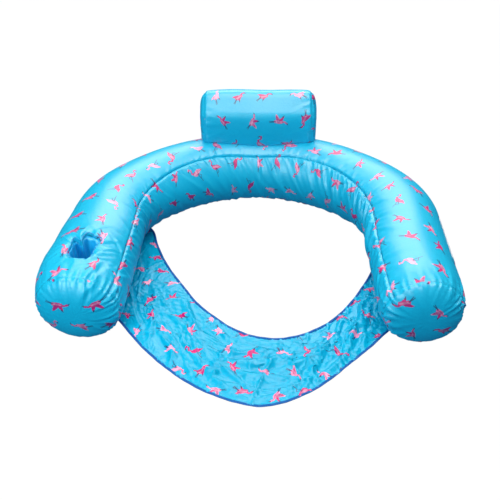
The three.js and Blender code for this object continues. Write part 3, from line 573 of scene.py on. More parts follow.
def make_end_panel(name, side):
    """A disc of cloth that bulges out, gathered into its rim."""
    w0 = 0.0 if side < 0 else LENGTH
    n, rings = 320, 40
    deg = np.linspace(0, 360, n, endpoint=False)
    k_end = 0 if side < 0 else 1
    ring0 = end_ring(w0, deg)
    x, y, nx, ny, tx, ty, r = (float(v[0]) for v in cl(np.array([w0])))
    ax = np.array([tx, ty, 0.0]) * (-1 if side < 0 else 1)
    zc = r * SQUAT
    full = tube_point(np.full(n, w0), deg)
    mid = np.array([x, y + Y0, zc])
    verts, uvs, faces = [], [], []
    t_of = np.r_[0, 0.012, 0.026, 0.045, np.linspace(0.07, 1, rings - 4, endpoint=False)]
    for k, t in enumerate(t_of):
        s = 1 - t
        # profile of a taut, sewn-in disc: steep at the rim, nearly flat in the middle
        h = END_DOME * (1 - s ** 2.5) ** 0.66
        P = mid + (full - mid) * s + ax * h
        edge = t * 0.098 + h * 0.4
        wr = END_FOLDS[k_end].at(around(deg), np.full(n, edge * 1.25), END_GAIN[k_end]) * ramp(np.array(edge)) * 0.9
        mix = min(1.0, t / 0.35)
        out = (full - mid) / np.linalg.norm(full - mid, axis=1, keepdims=True)
        nrm = out * (1 - mix) ** 0.5 + ax * mix ** 0.5
        P = P + nrm * (wr - groove(np.array(edge), 0.0017, 0.0034) * (edge > 0))[:, None] + out * (ring0 * math.exp(-((edge / 0.006) ** 2)))[:, None]
        P[:, 2] = np.maximum(P[:, 2], 0.0006 + 0.0006 * min(1, t * 8))
        verts += list(P)
        g = 0.1 * s
        uvs += list(np.stack([side * 0.337 + np.cos(np.radians(deg)) * g * side, np.sin(np.radians(deg)) * g], -1))
    verts.append(mid + ax * END_DOME)
    uvs.append((side * 0.337, 0.0))
    for k in range(rings - 1):
        for m in range(n):
            a, b = k * n + m, k * n + (m + 1) % n
            faces.append((a, b, b + n, a + n))
    last = (rings - 1) * n
    faces += [(last + m, last + (m + 1) % n, len(verts) - 1) for m in range(n)]
    ob = new_mesh(name, verts, faces, uvs)
    face_out(ob, lambda c: mid)
    return ob


end_cloth_l = make_end_panel("end_cloth_left", -1)
end_cloth_r = make_end_panel("end_cloth_right", 1)

# ------------------------------------------------------------------ the air bladder under the cover
def make_bladder():
    nw, nd = 220, 56
    w = np.linspace(0.006, LENGTH - 0.006, nw)
    deg = np.linspace(0, 360, nd, endpoint=False)
    W, D = np.meshgrid(w, deg, indexing="ij")
    P = tube_point(W, D, 0.0085)
    N = tube_normal(W, D)
    for fr, hx, hy, rnd in ((VALVE, 0.030, 0.030, True), (ZIP, 0.150, 0.016, False)):
        P = press(P, fr, hx, hy, -0.0095, 0.45, rnd)
    # a dimple under the cup pocket
    d = np.hypot(P[..., 0] - CUP[0], P[..., 1] - CUP[1])
    lo = 0.064 + np.clip(d - 0.052, 0, None) * 3.2
    P[..., 2] = np.where(D < 180, np.minimum(P[..., 2], np.maximum(lo, 0.062)), P[..., 2])
    P[..., 2] = np.maximum(P[..., 2], 0.004)
    verts = list(P.reshape(-1, 3))
    faces = grid_faces(nw, nd, wrap=True)
    for i, side in ((0, -1), (nw - 1, 1)):
        x, y, nx, ny, tx, ty, r = (float(v[0]) for v in cl(np.array([w[i]])))
        ax = np.array([tx, ty, 0.0]) * side
        mid = np.array([x, y + Y0, r * SQUAT])
        ring = P[i]
        prev = list(range(i * nd, i * nd + nd))
        for t in np.linspace(0, 1, 12)[1:-1]:
            s = 1 - t
            b = len(verts)
            q = mid + (ring - mid) * s + ax * ((END_DOME - 0.005) * (1 - s ** 2.4) ** 0.65)
            q[:, 2] = np.maximum(q[:, 2], 0.004)
            verts += list(q)
            faces += [(prev[m], prev[(m + 1) % nd], b + (m + 1) % nd, b + m)[:: 1 if side > 0 else -1] for m in range(nd)]
            prev = list(range(b, b + nd))
        verts.append(mid + ax * (END_DOME - 0.005))
        faces += [(prev[m], prev[(m + 1) % nd], len(verts) - 1)[:: 1 if side > 0 else -1] for m in range(nd)]
    V = np.array(verts)
    hole = in_round(V, VALVE, 0.0265)
    faces = [f for f in faces if not all(hole[q] for q in f)]
    ob = new_mesh("tube_air_bladder", verts, faces, [(v[0], v[1]) for v in verts])
    face_out(ob, tube_axis)
    return ob


air_bladder = make_bladder()

# ------------------------------------------------------------------ the cup pocket
def make_pocket():
    n = len(cup_lip)
    c = np.array([CUP[0], CUP[1]])
    d = cup_lip[:, :2] - c
    phi = np.arctan2(d[:, 1], d[:, 0])
    r0 = np.hypot(d[:, 0], d[:, 1])
    z0 = cup_lip[:, 2]
    floor = 0.0785
    verts, uvs, faces = [], [], []
    # a short collar behind the cover's edge, then down the wall in long slack pleats
    pleats = [(-150, 15, 5.0), (-112, 13, 6.5), (-62, 16, 5.0), (-20, 14, 6.0), (28, 13, 5.5), (58, 9, 7.0), (84, 8, 8.0), (106, 8, 6.0), (142, 9, 7.0), (172, 12, 5.5)]
    rows = 46
    for k in range(rows):
        t = k / (rows - 1)
        wall = 0.0405 - 0.0020 * np.sin(math.pi * t)
        rr = np.minimum(r0, 0.0425) + 0.0006 + (wall - np.minimum(r0, 0.0425)) * smooth(0.0, 0.85, t)
        f = np.zeros(n)
        for a_, s_, h_ in pleats:
            dd = (np.degrees(phi) - a_ - 10 * t + 180) % 360 - 180
            f += h_ / 1000 * np.exp(-((np.abs(dd) / s_) ** 1.6))
        f *= math.sin(math.pi * min(1, (t + 0.10) * 0.95)) ** 0.7
        if k == 0:
            f = f * 0
            rr = r0 + 0.0006
        sag = 0.0016 * math.sin(5 * t + 1) * np.sin(3 * phi + 4 * t) * min(1, t * 4)
        rr = np.minimum(rr - f + sag, 0.0500 if k < 4 else 0.0440)
        z = (z0 + 0.0020) * (1 - t) + (floor + 0.004) * t
        verts += list(np.c_[c[0] + rr * np.cos(phi), c[1] + rr * np.sin(phi), z])
        uvs += list(np.c_[phi * 0.045, np.full(n, 0.3 - t * 0.11)])
        if k:
            a, b = (k - 1) * n, k * n
            faces += [(a + m, a + (m + 1) % n, b + (m + 1) % n, b + m) for m in range(n)]
    prev = list(range((rows - 1) * n, rows * n))
    ring = np.array(verts[-n:])
    for t in (0.06, 0.14, 0.3, 0.5, 0.7, 0.9):
        b = len(verts)
        q = ring.copy()
        q[:, :2] = c + (ring[:, :2] - c) * (1 - t)
        q[:, 2] = floor + 0.004 * math.exp(-t / 0.06) + 0.0012 * np.sin(3 * phi + 7 * t) * (1 - t)
        verts += list(q)
        uvs += [(p[0] - c[0], p[1] - c[1]) for p in q]
        faces += [(prev[m], prev[(m + 1) % n], b + (m + 1) % n, b + m) for m in range(n)]
        prev = list(range(b, b + n))
    verts.append((c[0], c[1], floor))
    uvs.append((0, 0))
    faces += [(prev[m], prev[(m + 1) % n], len(verts) - 1) for m in range(n)]
    ob = new_mesh("pocket_lining", verts, faces, uvs)
    face_out(ob, lambda p: np.array([p[0] + (p[0] - CUP[0]), p[1] + (p[1] - CUP[1]), p[2] - 0.02]))
    return ob


pocket = make_pocket()


def tube_along(name, pts, radius, sides=8, closed=False, flat=1.0):
    """A thin round or flattened strip along points."""
    P = np.array(pts, float)
    n = len(P)
    if closed:
        T = np.roll(P, -1, 0) - np.roll(P, 1, 0)
    else:
        T = np.gradient(P, axis=0)
    T /= np.linalg.norm(T, axis=1)[:, None] + 1e-12
    up = np.array([0.0, 0.0, 1.0])
    S = np.cross(T, up)
    S /= np.linalg.norm(S, axis=1)[:, None] + 1e-12
    U = np.cross(S, T)
    verts, uvs = [], []
    L = np.r_[0, np.cumsum(np.linalg.norm(np.diff(P, axis=0), axis=1))]
    for i in range(n):
        for j in range(sides):
            a = 2 * math.pi * j / sides
            verts.append(P[i] + S[i] * math.cos(a) * radius + U[i] * math.sin(a) * radius * flat)
            uvs.append((L[i], j * 0.002))
    faces = grid_faces(n, sides, wrap=True)
    if closed:
        b = (n - 1) * sides
        faces += [(b + j, b + (j + 1) % sides, (j + 1) % sides, j) for j in range(sides)]
    else:
        faces.append(tuple(range(sides))[::-1])
        faces.append(tuple((n - 1) * sides + j for j in range(sides)))
    ob = new_mesh(name, verts, faces, uvs)
    bm = bmesh.new()
    bm.from_mesh(ob.data)
    bmesh.ops.recalc_face_normals(bm, faces=bm.faces)
    bm.to_mesh(ob.data)
    bm.free()
    return ob


edge = cup_edge.copy()
edge[:, 2] -= 0.0008
edge[:, :2] = np.array(CUP) + (edge[:, :2] - np.array(CUP)) * 0.985
pocket_edge = tube_along("pocket_edge_tape", edge, 0.0013, 8, closed=True)
# ------------------------------------------------------------------ the sling seat
REAR_HEM = [(-0.323, 0.118), (-0.305, 0.106), (-0.291, 0.060), (-0.275, 0.016), (-0.258, -0.025), (-0.238, -0.066), (-0.214, -0.108), (-0.183, -0.155), (-0.154, -0.202), (-0.127, -0.237), (-0.094, -0.269), (-0.060, -0.301), (-0.010, -0.331), (0.048, -0.345), (0.100, -0.338), (0.143, -0.318), (0.176, -0.296), (0.210, -0.263), (0.235, -0.230), (0.259, -0.195), (0.279, -0.158), (0.301, -0.118), (0.322, -0.070), (0.364, 0.020)]
FRONT_HEM = [(-0.365, -0.250), (-0.332, -0.285), (-0.274, -0.357), (-0.228, -0.407), (-0.175, -0.455), (-0.114, -0.499), (-0.073, -0.520), (-0.015, -0.541), (0.030, -0.548), (0.063, -0.541), (0.117, -0.516), (0.178, -0.471), (0.226, -0.422), (0.278, -0.371), (0.325, -0.318), (0.364, -0.280)]


def spline(pts, n):
    """An even, smooth curve through points (centripetal-like, by chord length)."""
    p = np.array(pts, float)
    s = np.r_[0, np.cumsum(np.linalg.norm(np.diff(p, axis=0), axis=1))]
    m = len(p)
    # natural cubic spline
    h = np.diff(s)
    A = np.zeros((m, m))
    A[0, 0] = A[-1, -1] = 1
    B = np.zeros((m, p.shape[1]))
    for i in range(1, m - 1):
        A[i, i - 1], A[i, i], A[i, i + 1] = h[i - 1], 2 * (h[i - 1] + h[i]), h[i]
        B[i] = 6 * ((p[i + 1] - p[i]) / h[i] - (p[i] - p[i - 1]) / h[i - 1])
    M = np.linalg.solve(A, B)
    u = np.linspace(0, s[-1], 1200)
    i = np.clip(np.searchsorted(s, u, "right") - 1, 0, m - 2)
    a, b, hh = (s[i + 1] - u)[:, None], (u - s[i])[:, None], h[i][:, None]
    q = (
        M[i] * a ** 3 / (6 * hh)
        + M[i + 1] * b ** 3 / (6 * hh)
        + (p[i] / hh - M[i] * hh / 6) * a
        + (p[i + 1] / hh - M[i + 1] * hh / 6) * b
    )
    L = np.r_[0, np.cumsum(np.linalg.norm(np.diff(q, axis=0), axis=1))]
    v = np.linspace(0, L[-1], n)
    return np.stack([np.interp(v, L, q[:, k]) for k in range(q.shape[1])], 1)


def tube_inner_z(X, Y):
    """Returns 0 for every plan point; the height of the tube's inner, lower side is not computed."""
    return 0.0


NX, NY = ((250, 84))


def even(q, n):
    L = np.r_[0, np.cumsum(np.linalg.norm(np.diff(q, axis=0), axis=1))]
    v = np.linspace(0, L[-1], n)
    return np.stack([np.interp(v, L, q[:, k]) for k in range(q.shape[1])], 1)


def hem_line(pts, n):
    q = spline(pts, 600)
    k = np.hanning(61)
    k /= k.sum()
    for i in range(2):
        pad = np.r_[2 * q[0, i] - q[30:0:-1, i], q[:, i], 2 * q[-1, i] - q[-2:-32:-1, i]]
        q[:, i] = np.convolve(pad, k, "valid")
    q[:, 1] += Y0
    return even(q, n)


rear, front = hem_line(REAR_HEM, NX), hem_line(FRONT_HEM, NX)


def side_line(a, b, sign):
    """Along the tube's lower inner seam from the rear hem's end to the front one's."""
    w = np.linspace(0.04, 0.62, 900)
    s = tube_point(w if sign < 0 else LENGTH - w, np.full(900, 249.0))[:, :2]
    i, j = np.argmin(np.hypot(*(s - a).T)), np.argmin(np.hypot(*(s - b).T))
    q = s[j : i + 1][::-1]
    q = even(np.vstack([a, q[4:-4], b]), NY)
    k = np.hanning(9)
    k /= k.sum()
    for _ in range(2):
        q[4:-4] = np.stack([np.convolve(q[:, m], k, "valid") for m in (0, 1)], 1)
    return q


left, right = side_line(rear[0], front[0], -1), side_line(rear[-1], front[-1], 1)
vv = np.linspace(0, 1, NY)
U_, V_ = np.linspace(0, 1, NX)[:, None, None], vv[None, :, None]
SL = (
    rear[:, None] * (1 - V_)
    + front[:, None] * V_
    + left[None] * (1 - U_)
    + right[None] * U_
    - ((1 - U_) * (1 - V_) * rear[0] + U_ * (1 - V_) * rear[-1] + (1 - U_) * V_ * front[0] + U_ * V_ * front[-1])
)
sx, sy = SL[..., 0], SL[..., 1]


def under_tube(X, Y):
    """How high cloth on the ground may lie under the tube's overhang."""
    d = np.full(X.shape, 9.0)
    for q in CP[::12]:
        d = np.minimum(d, np.hypot(X - q[0], Y - Y0 - q[1]))
    zc, r = 0.0955, 0.0985
    return np.where(d < r, zc - zc * np.sqrt(np.clip(1 - (d / r) ** 2, 0, 1)), 9.0)


ROOF = under_tube(sx, sy)
near_side = np.exp(-(np.minimum(np.linspace(0, 1, NX), 1 - np.linspace(0, 1, NX)) / 0.035) ** 2)[:, None]
sz = 0.0026 + 0.0040 * near_side * np.ones((1, NY))


def satin_folds():
    """Slack folds: long ones fan from the arms to the middle, short ones cross them."""
    r = np.random.default_rng(91)
    z = np.zeros_like(sx)
    u = np.linspace(0, 1, NX)[:, None] * np.ones((1, NY))
    v = np.ones((NX, 1)) * vv[None, :]
    env = np.sin(np.pi * v) ** 0.8
    for k in range(84):
        uc, vc = r.uniform(0.02, 0.98), r.uniform(0.08, 0.92)
        cx = np.interp(uc, u[:, 0], sx[:, NY // 2])
        iu, iv = int(uc * (NX - 1)), int(vc * (NY - 1))
        px, py = sx[iu, iv], sy[iu, iv]
        # along the sling, leaning to the nearer arm's fixing
        ti = min(iu + 3, NX - 1), max(iu - 3, 0)
        tx, ty = sx[ti[0], iv] - sx[ti[1], iv], sy[ti[0], iv] - sy[ti[1], iv]
        a = math.atan2(ty, tx) + r.normal(0, 0.34)
        ln = r.uniform(0.045, 0.15) * (1.4 if abs(px) > 0.2 else 1.0)
        wd = r.uniform(0.0055, 0.0120)
        am = r.uniform(0.0028, 0.0080)
        X, Y = sx - px, sy - py
        al, ac = X * math.cos(a) + Y * math.sin(a), -X * math.sin(a) + Y * math.cos(a)
        ac = ac + 6.0 * r.normal(0, 0.25) * al * al / max(ln, 0.05)
        z += am * ridge(ac / wd) * np.exp(-((np.abs(al) / ln) ** 2.2))
    for k in range(34):
        iu, iv = int(r.uniform(0.15, 0.85) * (NX - 1)), int(r.uniform(0.2, 0.85) * (NY - 1))
        px, py = sx[iu, iv], sy[iu, iv]
        a = r.uniform(0, math.pi)
        ln, wd, am = r.uniform(0.014, 0.035), r.uniform(0.0035, 0.0075), r.uniform(0.0016, 0.0044)
        X, Y = sx - px, sy - py
        al, ac = X * math.cos(a) + Y * math.sin(a), -X * math.sin(a) + Y * math.cos(a)
        z += am * ridge(ac / wd) * np.exp(-((np.abs(al) / ln) ** 2.0))
    return np.maximum(z * env, -0.0022)


start_z = np.minimum(sz + satin_folds() * (1 - near_side), np.maximum(ROOF - 0.003, 0.0012))
sling_uv = np.stack([sx * 1.22 + 0.05, sy * 1.24], -1).reshape(-1, 2)
sling = new_mesh("sling_cloth", np.stack([sx, sy, start_z], -1).reshape(-1, 3), grid_faces(NX, NY), sling_uv)


# the slack cloth settles on the ground between its hems
ground = new_mesh("tmp_ground", [(-1, -1, 0.0), (1, -1, 0.0), (1, 1, 0.0), (-1, 1, 0.0)], [(0, 1, 2, 3)])
ground.modifiers.new("c", "COLLISION")
ground.collision.thickness_outer = 0.0009
ground.collision.cloth_friction = 25
pin = sling.vertex_groups.new(name="pin")
for i in range(NX):
    for j in range(NY):
        if i in (0, NX - 1) or j in (0, NY - 1):
            pin.add([i * NY + j], 1.0, "REPLACE")
        elif j in (1, NY - 2):
            pin.add([i * NY + j], 0.6, "REPLACE")
cm = sling.modifiers.new("cloth", "CLOTH")
cs = cm.settings
cs.quality = 6
cs.mass = 0.15
cs.air_damping = 3.0
cs.tension_stiffness = cs.compression_stiffness = 30
cs.shear_stiffness = 12
cs.bending_stiffness = 0.35
cs.tension_damping = cs.compression_damping = 12
cs.bending_damping = 0.5
cs.vertex_group_mass = "pin"
cs.shrink_min = -0.026
cm.collision_settings.distance_min = 0.0009
cm.collision_settings.use_self_collision = False
cm.point_cache.frame_start, cm.point_cache.frame_end = 1, 34
for f in range(1, 35):
    scene.frame_set(f)
apply_all(sling)
scene.frame_set(1)
bpy.data.objects.remove(ground)
me = sling.data
co = np.empty(len(me.vertices) * 3)
me.vertices.foreach_get("co", co)
co = co.reshape(-1, 3)
co[:, 2] = np.maximum(np.minimum(co[:, 2], under_tube(co[:, 0], co[:, 1]) - 0.0022), 0.0009)
me.vertices.foreach_set("co", co.ravel())
me.update()
SC = co.reshape(NX, NY, 3)


def set_creases():
    """Sharp creases pressed into the slack cloth, fanning from each arm to the front's middle."""
    r = np.random.default_rng(207)
    z = np.zeros_like(sx)
    env = (np.sin(np.pi * vv) ** 0.6)[None, :] * (1 - near_side)
    for k in range(104):
        iu, iv = int(r.uniform(0.05, 0.95) * (NX - 1)), int(r.uniform(0.1, 0.9) * (NY - 1))
        px, py = sx[iu, iv], sy[iu, iv]
        ti = min(iu + 3, NX - 1), max(iu - 3, 0)
        tx, ty = sx[ti[0], iv] - sx[ti[1], iv], sy[ti[0], iv] - sy[ti[1], iv]
        # steeper than the hems: they run down and inwards
        a = math.atan2(ty, tx) + math.copysign(1, px) * (0.30 if abs(px) > 0.05 else 0.0) + r.normal(0, 0.22)
        ln, wd = r.uniform(0.035, 0.125), r.uniform(0.0040, 0.0090)
        am = wd * r.uniform(0.42, 0.78) * (1 if r.random() < 0.78 else -0.6)
        X, Y = sx - px, sy - py
        al, ac = X * math.cos(a) + Y * math.sin(a), -X * math.sin(a) + Y * math.cos(a)
        ac = ac + 3.0 * r.normal(0, 0.3) * al * al
        z += am * ridge(ac / wd) * np.exp(-((np.abs(al) / ln) ** 2.4))
    return z * env


SC[..., 2] = np.maximum(np.minimum(SC[..., 2] + set_creases(), under_tube(SC[..., 0], SC[..., 1]) - 0.0022), 0.0009)
sling.data.vertices.foreach_set("co", np.ascontiguousarray(SC).ravel())
sling.data.update()


def hem(name, line, inner_dir):
    """Folded tape over a hem, about 6 mm wide, with rounded edges."""
    P = line.copy()
    T = np.gradient(P[:, :2], axis=0)
    T /= np.linalg.norm(T, axis=1)[:, None]
    S = np.c_[-T[:, 1], T[:, 0]] * inner_dir
    sec = [(-0.0006, 0.0), (-0.0003, 0.0010), (0.0008, 0.0014), (0.0030, 0.0013), (0.0052, 0.0011), (0.0058, 0.0), (0.0052, -0.0009), (0.0030, -0.0011), (0.0008, -0.0010)]
    verts, uvs = [], []
    L = np.r_[0, np.cumsum(np.linalg.norm(np.diff(P, axis=0), axis=1))]
    r = np.random.default_rng(5)
    wav = 0.0005 * np.sin(L * 95 + 1) + 0.0003 * np.sin(L * 210)
    for i in range(len(P)):
        for a, b in sec:
            verts.append((P[i, 0] + S[i, 0] * a, P[i, 1] + S[i, 1] * a, max(0.0003, P[i, 2] + b + wav[i])))
            uvs.append((L[i], a))
    k = len(sec)
    faces = grid_faces(len(P), k, wrap=True)
    faces += [tuple(range(k)), tuple((len(P) - 1) * k + j for j in range(k))]
    ob = new_mesh(name, verts, faces, uvs)
    bm = bmesh.new()
    bm.from_mesh(ob.data)
    bmesh.ops.recalc_face_normals(bm, faces=bm.faces)
    bm.to_mesh(ob.data)
    bm.free()
    return ob


hem_rear = hem("rear_hem_tape", SC[:, 0], -1)
hem_front = hem("front_hem_tape", SC[:, -1], 1)

# ------------------------------------------------------------------ the headrest pillow
HY, HZ0 = 0.3926, 0.2035
H_SEAM, H_END, HX = 0.1575, 0.0175, 0.0025


def crown(x, y):
    """Height of the tube's top over a plan point near its back."""
    d = np.hypot(CP[:, 0][None, :] - x[:, None], CP[:, 1][None, :] + Y0 - y[:, None]).min(1)
    zc = 0.1014 * SQUAT + 0.0006
    r = 0.1012
    return zc + zc * np.sqrt(np.clip(1 - (d / r) ** 2, 0, 1))


def front_profile():
    """The front from its widest line to the crown: upright foot, even slope, rounded top."""
    u = np.linspace(0, 1, 400)
    st = lambda lo, hi: np.clip((u - lo) / (hi - lo), 0, 1) ** 2 * (3 - 2 * np.clip((u - lo) / (hi - lo), 0, 1))
    phi = math.radians(60) * st(0.0, 0.30) + math.radians(30) * st(0.62, 1.0)
    y, z = np.r_[0, np.cumsum(np.sin(phi))[:-1]], np.r_[0, np.cumsum(np.cos(phi))[:-1]]
    y, z = 1 - y / y[-1], z / z[-1]
    return (lambda g: np.interp(g, u, y)), (lambda g: np.interp(g, u, z))


FRONT_Y, FRONT_Z = front_profile()


def head_section(x, q, s=1.0):
    """Section at x: q from 0 (front base) to 1 (rear base), over the top; s shrinks it to the end's middle."""
    a = math.pi * (q * 1.42 - 0.21)  # below the middle at both ends
    c, sn = np.cos(a), np.sin(a)
    k = 1 - 0.035 * (abs(x) / H_SEAM) ** 4
    thick, up, down = 0.0588 * k, 0.0830 * (1 - 0.03 * (abs(x) / H_SEAM) ** 4 - 0.03 * (abs(x) / H_SEAM) ** 14), 0.066
    p = 2 / 2.12
    yy = -np.sign(c) * np.abs(c) ** p * thick
    zm = 0.2610
    top = np.clip(sn, 0, None) ** p * up
    # the front slopes back from its foot to the crown, so it looks up more than the rear does
    g_ = np.clip(a / (math.pi / 2), 0, 1)
    yy = np.where(c > 0, -FRONT_Y(g_) * thick, yy)
    top = np.where((c > 0) & (sn > 0), FRONT_Z(g_) * up, top)
    y = HY + yy * s
    z = zm + top * s
    low = sn < 0
    if np.any(low):
        # tuck in, then meet the tube
        f = (-sn[low]) / math.sin(math.pi * 0.21)
        yl = HY + np.sign(yy[low]) * thick * (1 - 0.16 * f ** 1.7) * s
        y[low] = yl
        g = crown(np.full(yl.shape, x), yl)
        z[low] = zm + (g - 0.0015 - zm) * f ** 0.92
    return y, z


HF_SEAM = [Folds(51 + k, -0.06, 0.48, 0.0165, (0.0030, 0.0060), (0.010, 0.040), (0.0005, 0.0017), (0, 0.2)) for k in range(2)]
HF_BASE = [Folds(54 + k, -0.15, 0.15, 0.020, (0.0035, 0.0070), (0.010, 0.034), (0.0004, 0.0013), (0, 0.3)) for k in range(2)]


def make_headrest():
    nq = 150
    q = np.linspace(0, 1, nq)
    q = q - 0.35 * np.sin(2 * np.pi * q) / (2 * np.pi)
    e = np.r_[0, 0.0012, 0.0026, 0.0045, 0.0070]
    xs = np.r_[-H_SEAM + e, np.linspace(-H_SEAM + 0.0095, H_SEAM - 0.0095, 112), H_SEAM - e[::-1]]
    Y, Z, S = [], [], []
    for x in xs:
        y, z = head_section(x, q)
        Y.append(y)
        Z.append(z)
    Y, Z = np.array(Y), np.array(Z)
    X = np.repeat(xs[:, None], nq, 1)
    s = np.concatenate([np.zeros((len(xs), 1)), np.cumsum(np.hypot(np.diff(Y, axis=1), np.diff(Z, axis=1)), 1)], 1)
    P = np.stack([X, Y, Z], -1)
    ty, tz = np.gradient(Y, axis=1), np.gradient(Z, axis=1)
    l = np.hypot(ty, tz) + 1e-9
    N = np.stack([np.zeros_like(ty), -tz / l, ty / l], -1)
    el, er = X + H_SEAM, H_SEAM - X
    d = (HF_SEAM[0].at(s, el) + HF_SEAM[1].at(s, er)) * ramp(el) * ramp(er)
    fb, rb = s, s[:, -1:] - s
    d += HF_BASE[0].at(X, fb) + HF_BASE[1].at(X, rb)
    # a gentle ripple over the whole wrap
    d += 0.0010 * np.sin(X * 31 + 0.7) * np.sin(s * 17 + 1)
    for e_ in (el, er):
        d -= groove(e_, 0.0034, 0.0034)
    for e_ in (fb, rb):
        d -= 0.0030 * np.exp(-((e_ / 0.006) ** 2))
    P = P + N * d[..., None]
    P[..., 0] += HX
    P = press(P, HZIP, 0.1025, 0.0125, -0.0013, 0.45)
    P = press(P, HVALVE, 0.0125, 0.0125, -0.0001, 0.35, True)
    verts = list(P.reshape(-1, 3))
    uvs = list(np.stack([X * 1.0 + 0.031, s * 1.0 + 0.034], -1).reshape(-1, 2))
    faces = grid_faces(len(xs), nq)
    # the two end panels close on the same seam rings
    ends = []
    for side, ring in ((-1, P[0]), (1, P[-1])):
        v2, u2, f2 = [], [], []
        rings = 26
        t_of = np.r_[0, 0.012, 0.028, 0.05, np.linspace(0.085, 1, rings - 4)]
        fold = Folds(57 + side, -0.06, 0.48, 0.017, (0.0032, 0.0060), (0.012, 0.036), (0.0006, 0.0018), (0, 0.1))
        srow = s[0]
        for t in t_of:
            sc = 1 - t
            xb = side * (H_SEAM + H_END * (1 - sc ** 2.4) ** 0.6)
            yy, zz = head_section(side * H_SEAM, q, 1.0)
            yc = HY + (ring[:, 1] - HY) * sc
            zt = ring[:, 2]
            zc = 0.262
            base_z = crown(np.full(nq, xb), yc) - 0.0015
            rel = np.clip((zc - zt) / (zc - ring[0, 2] + 1e-9), 0, 1)
            rel[nq // 2 :] = np.clip((zc - zt[nq // 2 :]) / (zc - ring[-1, 2] + 1e-9), 0, 1)
            z = np.where(zt >= zc, zc + (zt - zc) * sc, zc + (base_z - zc) * rel)
            edge = t * 0.055 + H_END * (1 - sc ** 2.4) ** 0.6 * 0.4
            wr = fold.at(srow, np.full(nq, edge)) * ramp(np.array(edge)) - 0.0034 * math.exp(-((edge / 0.0034) ** 2))
            if t == 0:
                wr = wr * 0
            v2 += list(np.c_[np.full(nq, xb + HX) + side * wr * 0.8, yc, z])
            u2 += list(np.c_[side * 0.5 + yc, z])
        f2 = grid_faces(len(t_of), nq)
        ob = new_mesh("headrest_end_cloth_" + ("left" if side < 0 else "right"), v2, f2, u2)
        face_out(ob, lambda c: np.array([0, HY, 0.262]))
        ends.append(ob)
    body = new_mesh("headrest_wrap_cloth", verts, faces, uvs)
    face_out(body, lambda c: np.array([c[0], HY, 0.262]))
    V = P.reshape(-1, 3)
    hole = in_round(V, HVALVE, 0.0075, 0.02)
    bm = bmesh.new()
    bm.from_mesh(body.data)
    bm.verts.ensure_lookup_table()
    bmesh.ops.delete(bm, geom=[f for f in bm.faces if all(hole[v.index] for v in f.verts)], context="FACES")
    bm.to_mesh(body.data)
    bm.free()
    return body, ends


head_wrap, head_ends = make_headrest()


def make_head_bladder():
    xs = np.linspace(-0.148, 0.148, 30)
    q = np.linspace(0, 1, 44)
    verts, faces = [], []
    for x in xs:
        e = (abs(x) / 0.148) ** 6
        s = 1 - 0.22 * e
        y, z = head_section(x, q, 1.0)
        y = HY + (y - HY) * 0.84 * s
        z = 0.262 + (z - 0.262) * np.where(z > 0.262, 0.86, 0.66) * s
        P = np.stack([np.full(len(q), x), y, z], -1)
        P = press(P, HZIP, 0.105, 0.016, -0.009, 0.45)
        P = press(P, HVALVE, 0.016, 0.016, -0.014, 0.35, True)
        verts += list(P)
    n = len(q)
    faces = grid_faces(len(xs), n, wrap=True)
    faces += [tuple(range(n)), tuple((len(xs) - 1) * n + j for j in range(n))]
    ob = new_mesh("pillow_air_bladder", verts, faces, [(v[0], v[2]) for v in verts])
    bm = bmesh.new()
    bm.from_mesh(ob.data)
    bmesh.ops.recalc_face_normals(bm, faces=bm.faces)
    bm.to_mesh(ob.data)
    bm.free()
    return ob


head_air = make_head_bladder()

# ------------------------------------------------------------------ the blank white patch
def make_patch():
    w0, w1 = LENGTH - 0.3078, LENGTH - 0.1398
    d0, d1 = 9.5, 31.5
    nu, nv = 130, 34
    u, v = np.linspace(0, 1, nu), np.linspace(0, 1, nv)
    U, V = np.meshgrid(u, v, indexing="ij")
    W = w0 + (w1 - w0) * U
    D = d0 + (d1 - d0) * V
    P = lay_panel(W, D, "top")
    # smooth along the patch: the stiffer label bridges small puckers
    k = np.hanning(11)
    k /= k.sum()
    for ax in (0, 1):
        pad = [(5, 5) if i == ax else (0, 0) for i in range(3)]
        Q = np.pad(P, pad, mode="reflect", reflect_type="odd")
        P = np.apply_along_axis(lambda a: np.convolve(a, k, "valid"), ax, Q)
    N = tube_normal(W, D)
    edge = np.minimum(np.minimum(U, 1 - U) * (w1 - w0), np.minimum(V, 1 - V) * 0.038)
    P = P + N * (0.0015 - 0.0005 * np.exp(-((edge / 0.0012) ** 2)))[..., None]
    ob = new_mesh("white_patch", P.reshape(-1, 3), grid_faces(nu, nv), np.stack([W, np.radians(D) * 0.1], -1).reshape(-1, 2))
    face_out(ob, tube_axis)
    solidify(ob, 0.0007, -1)
    return ob


patch = make_patch()
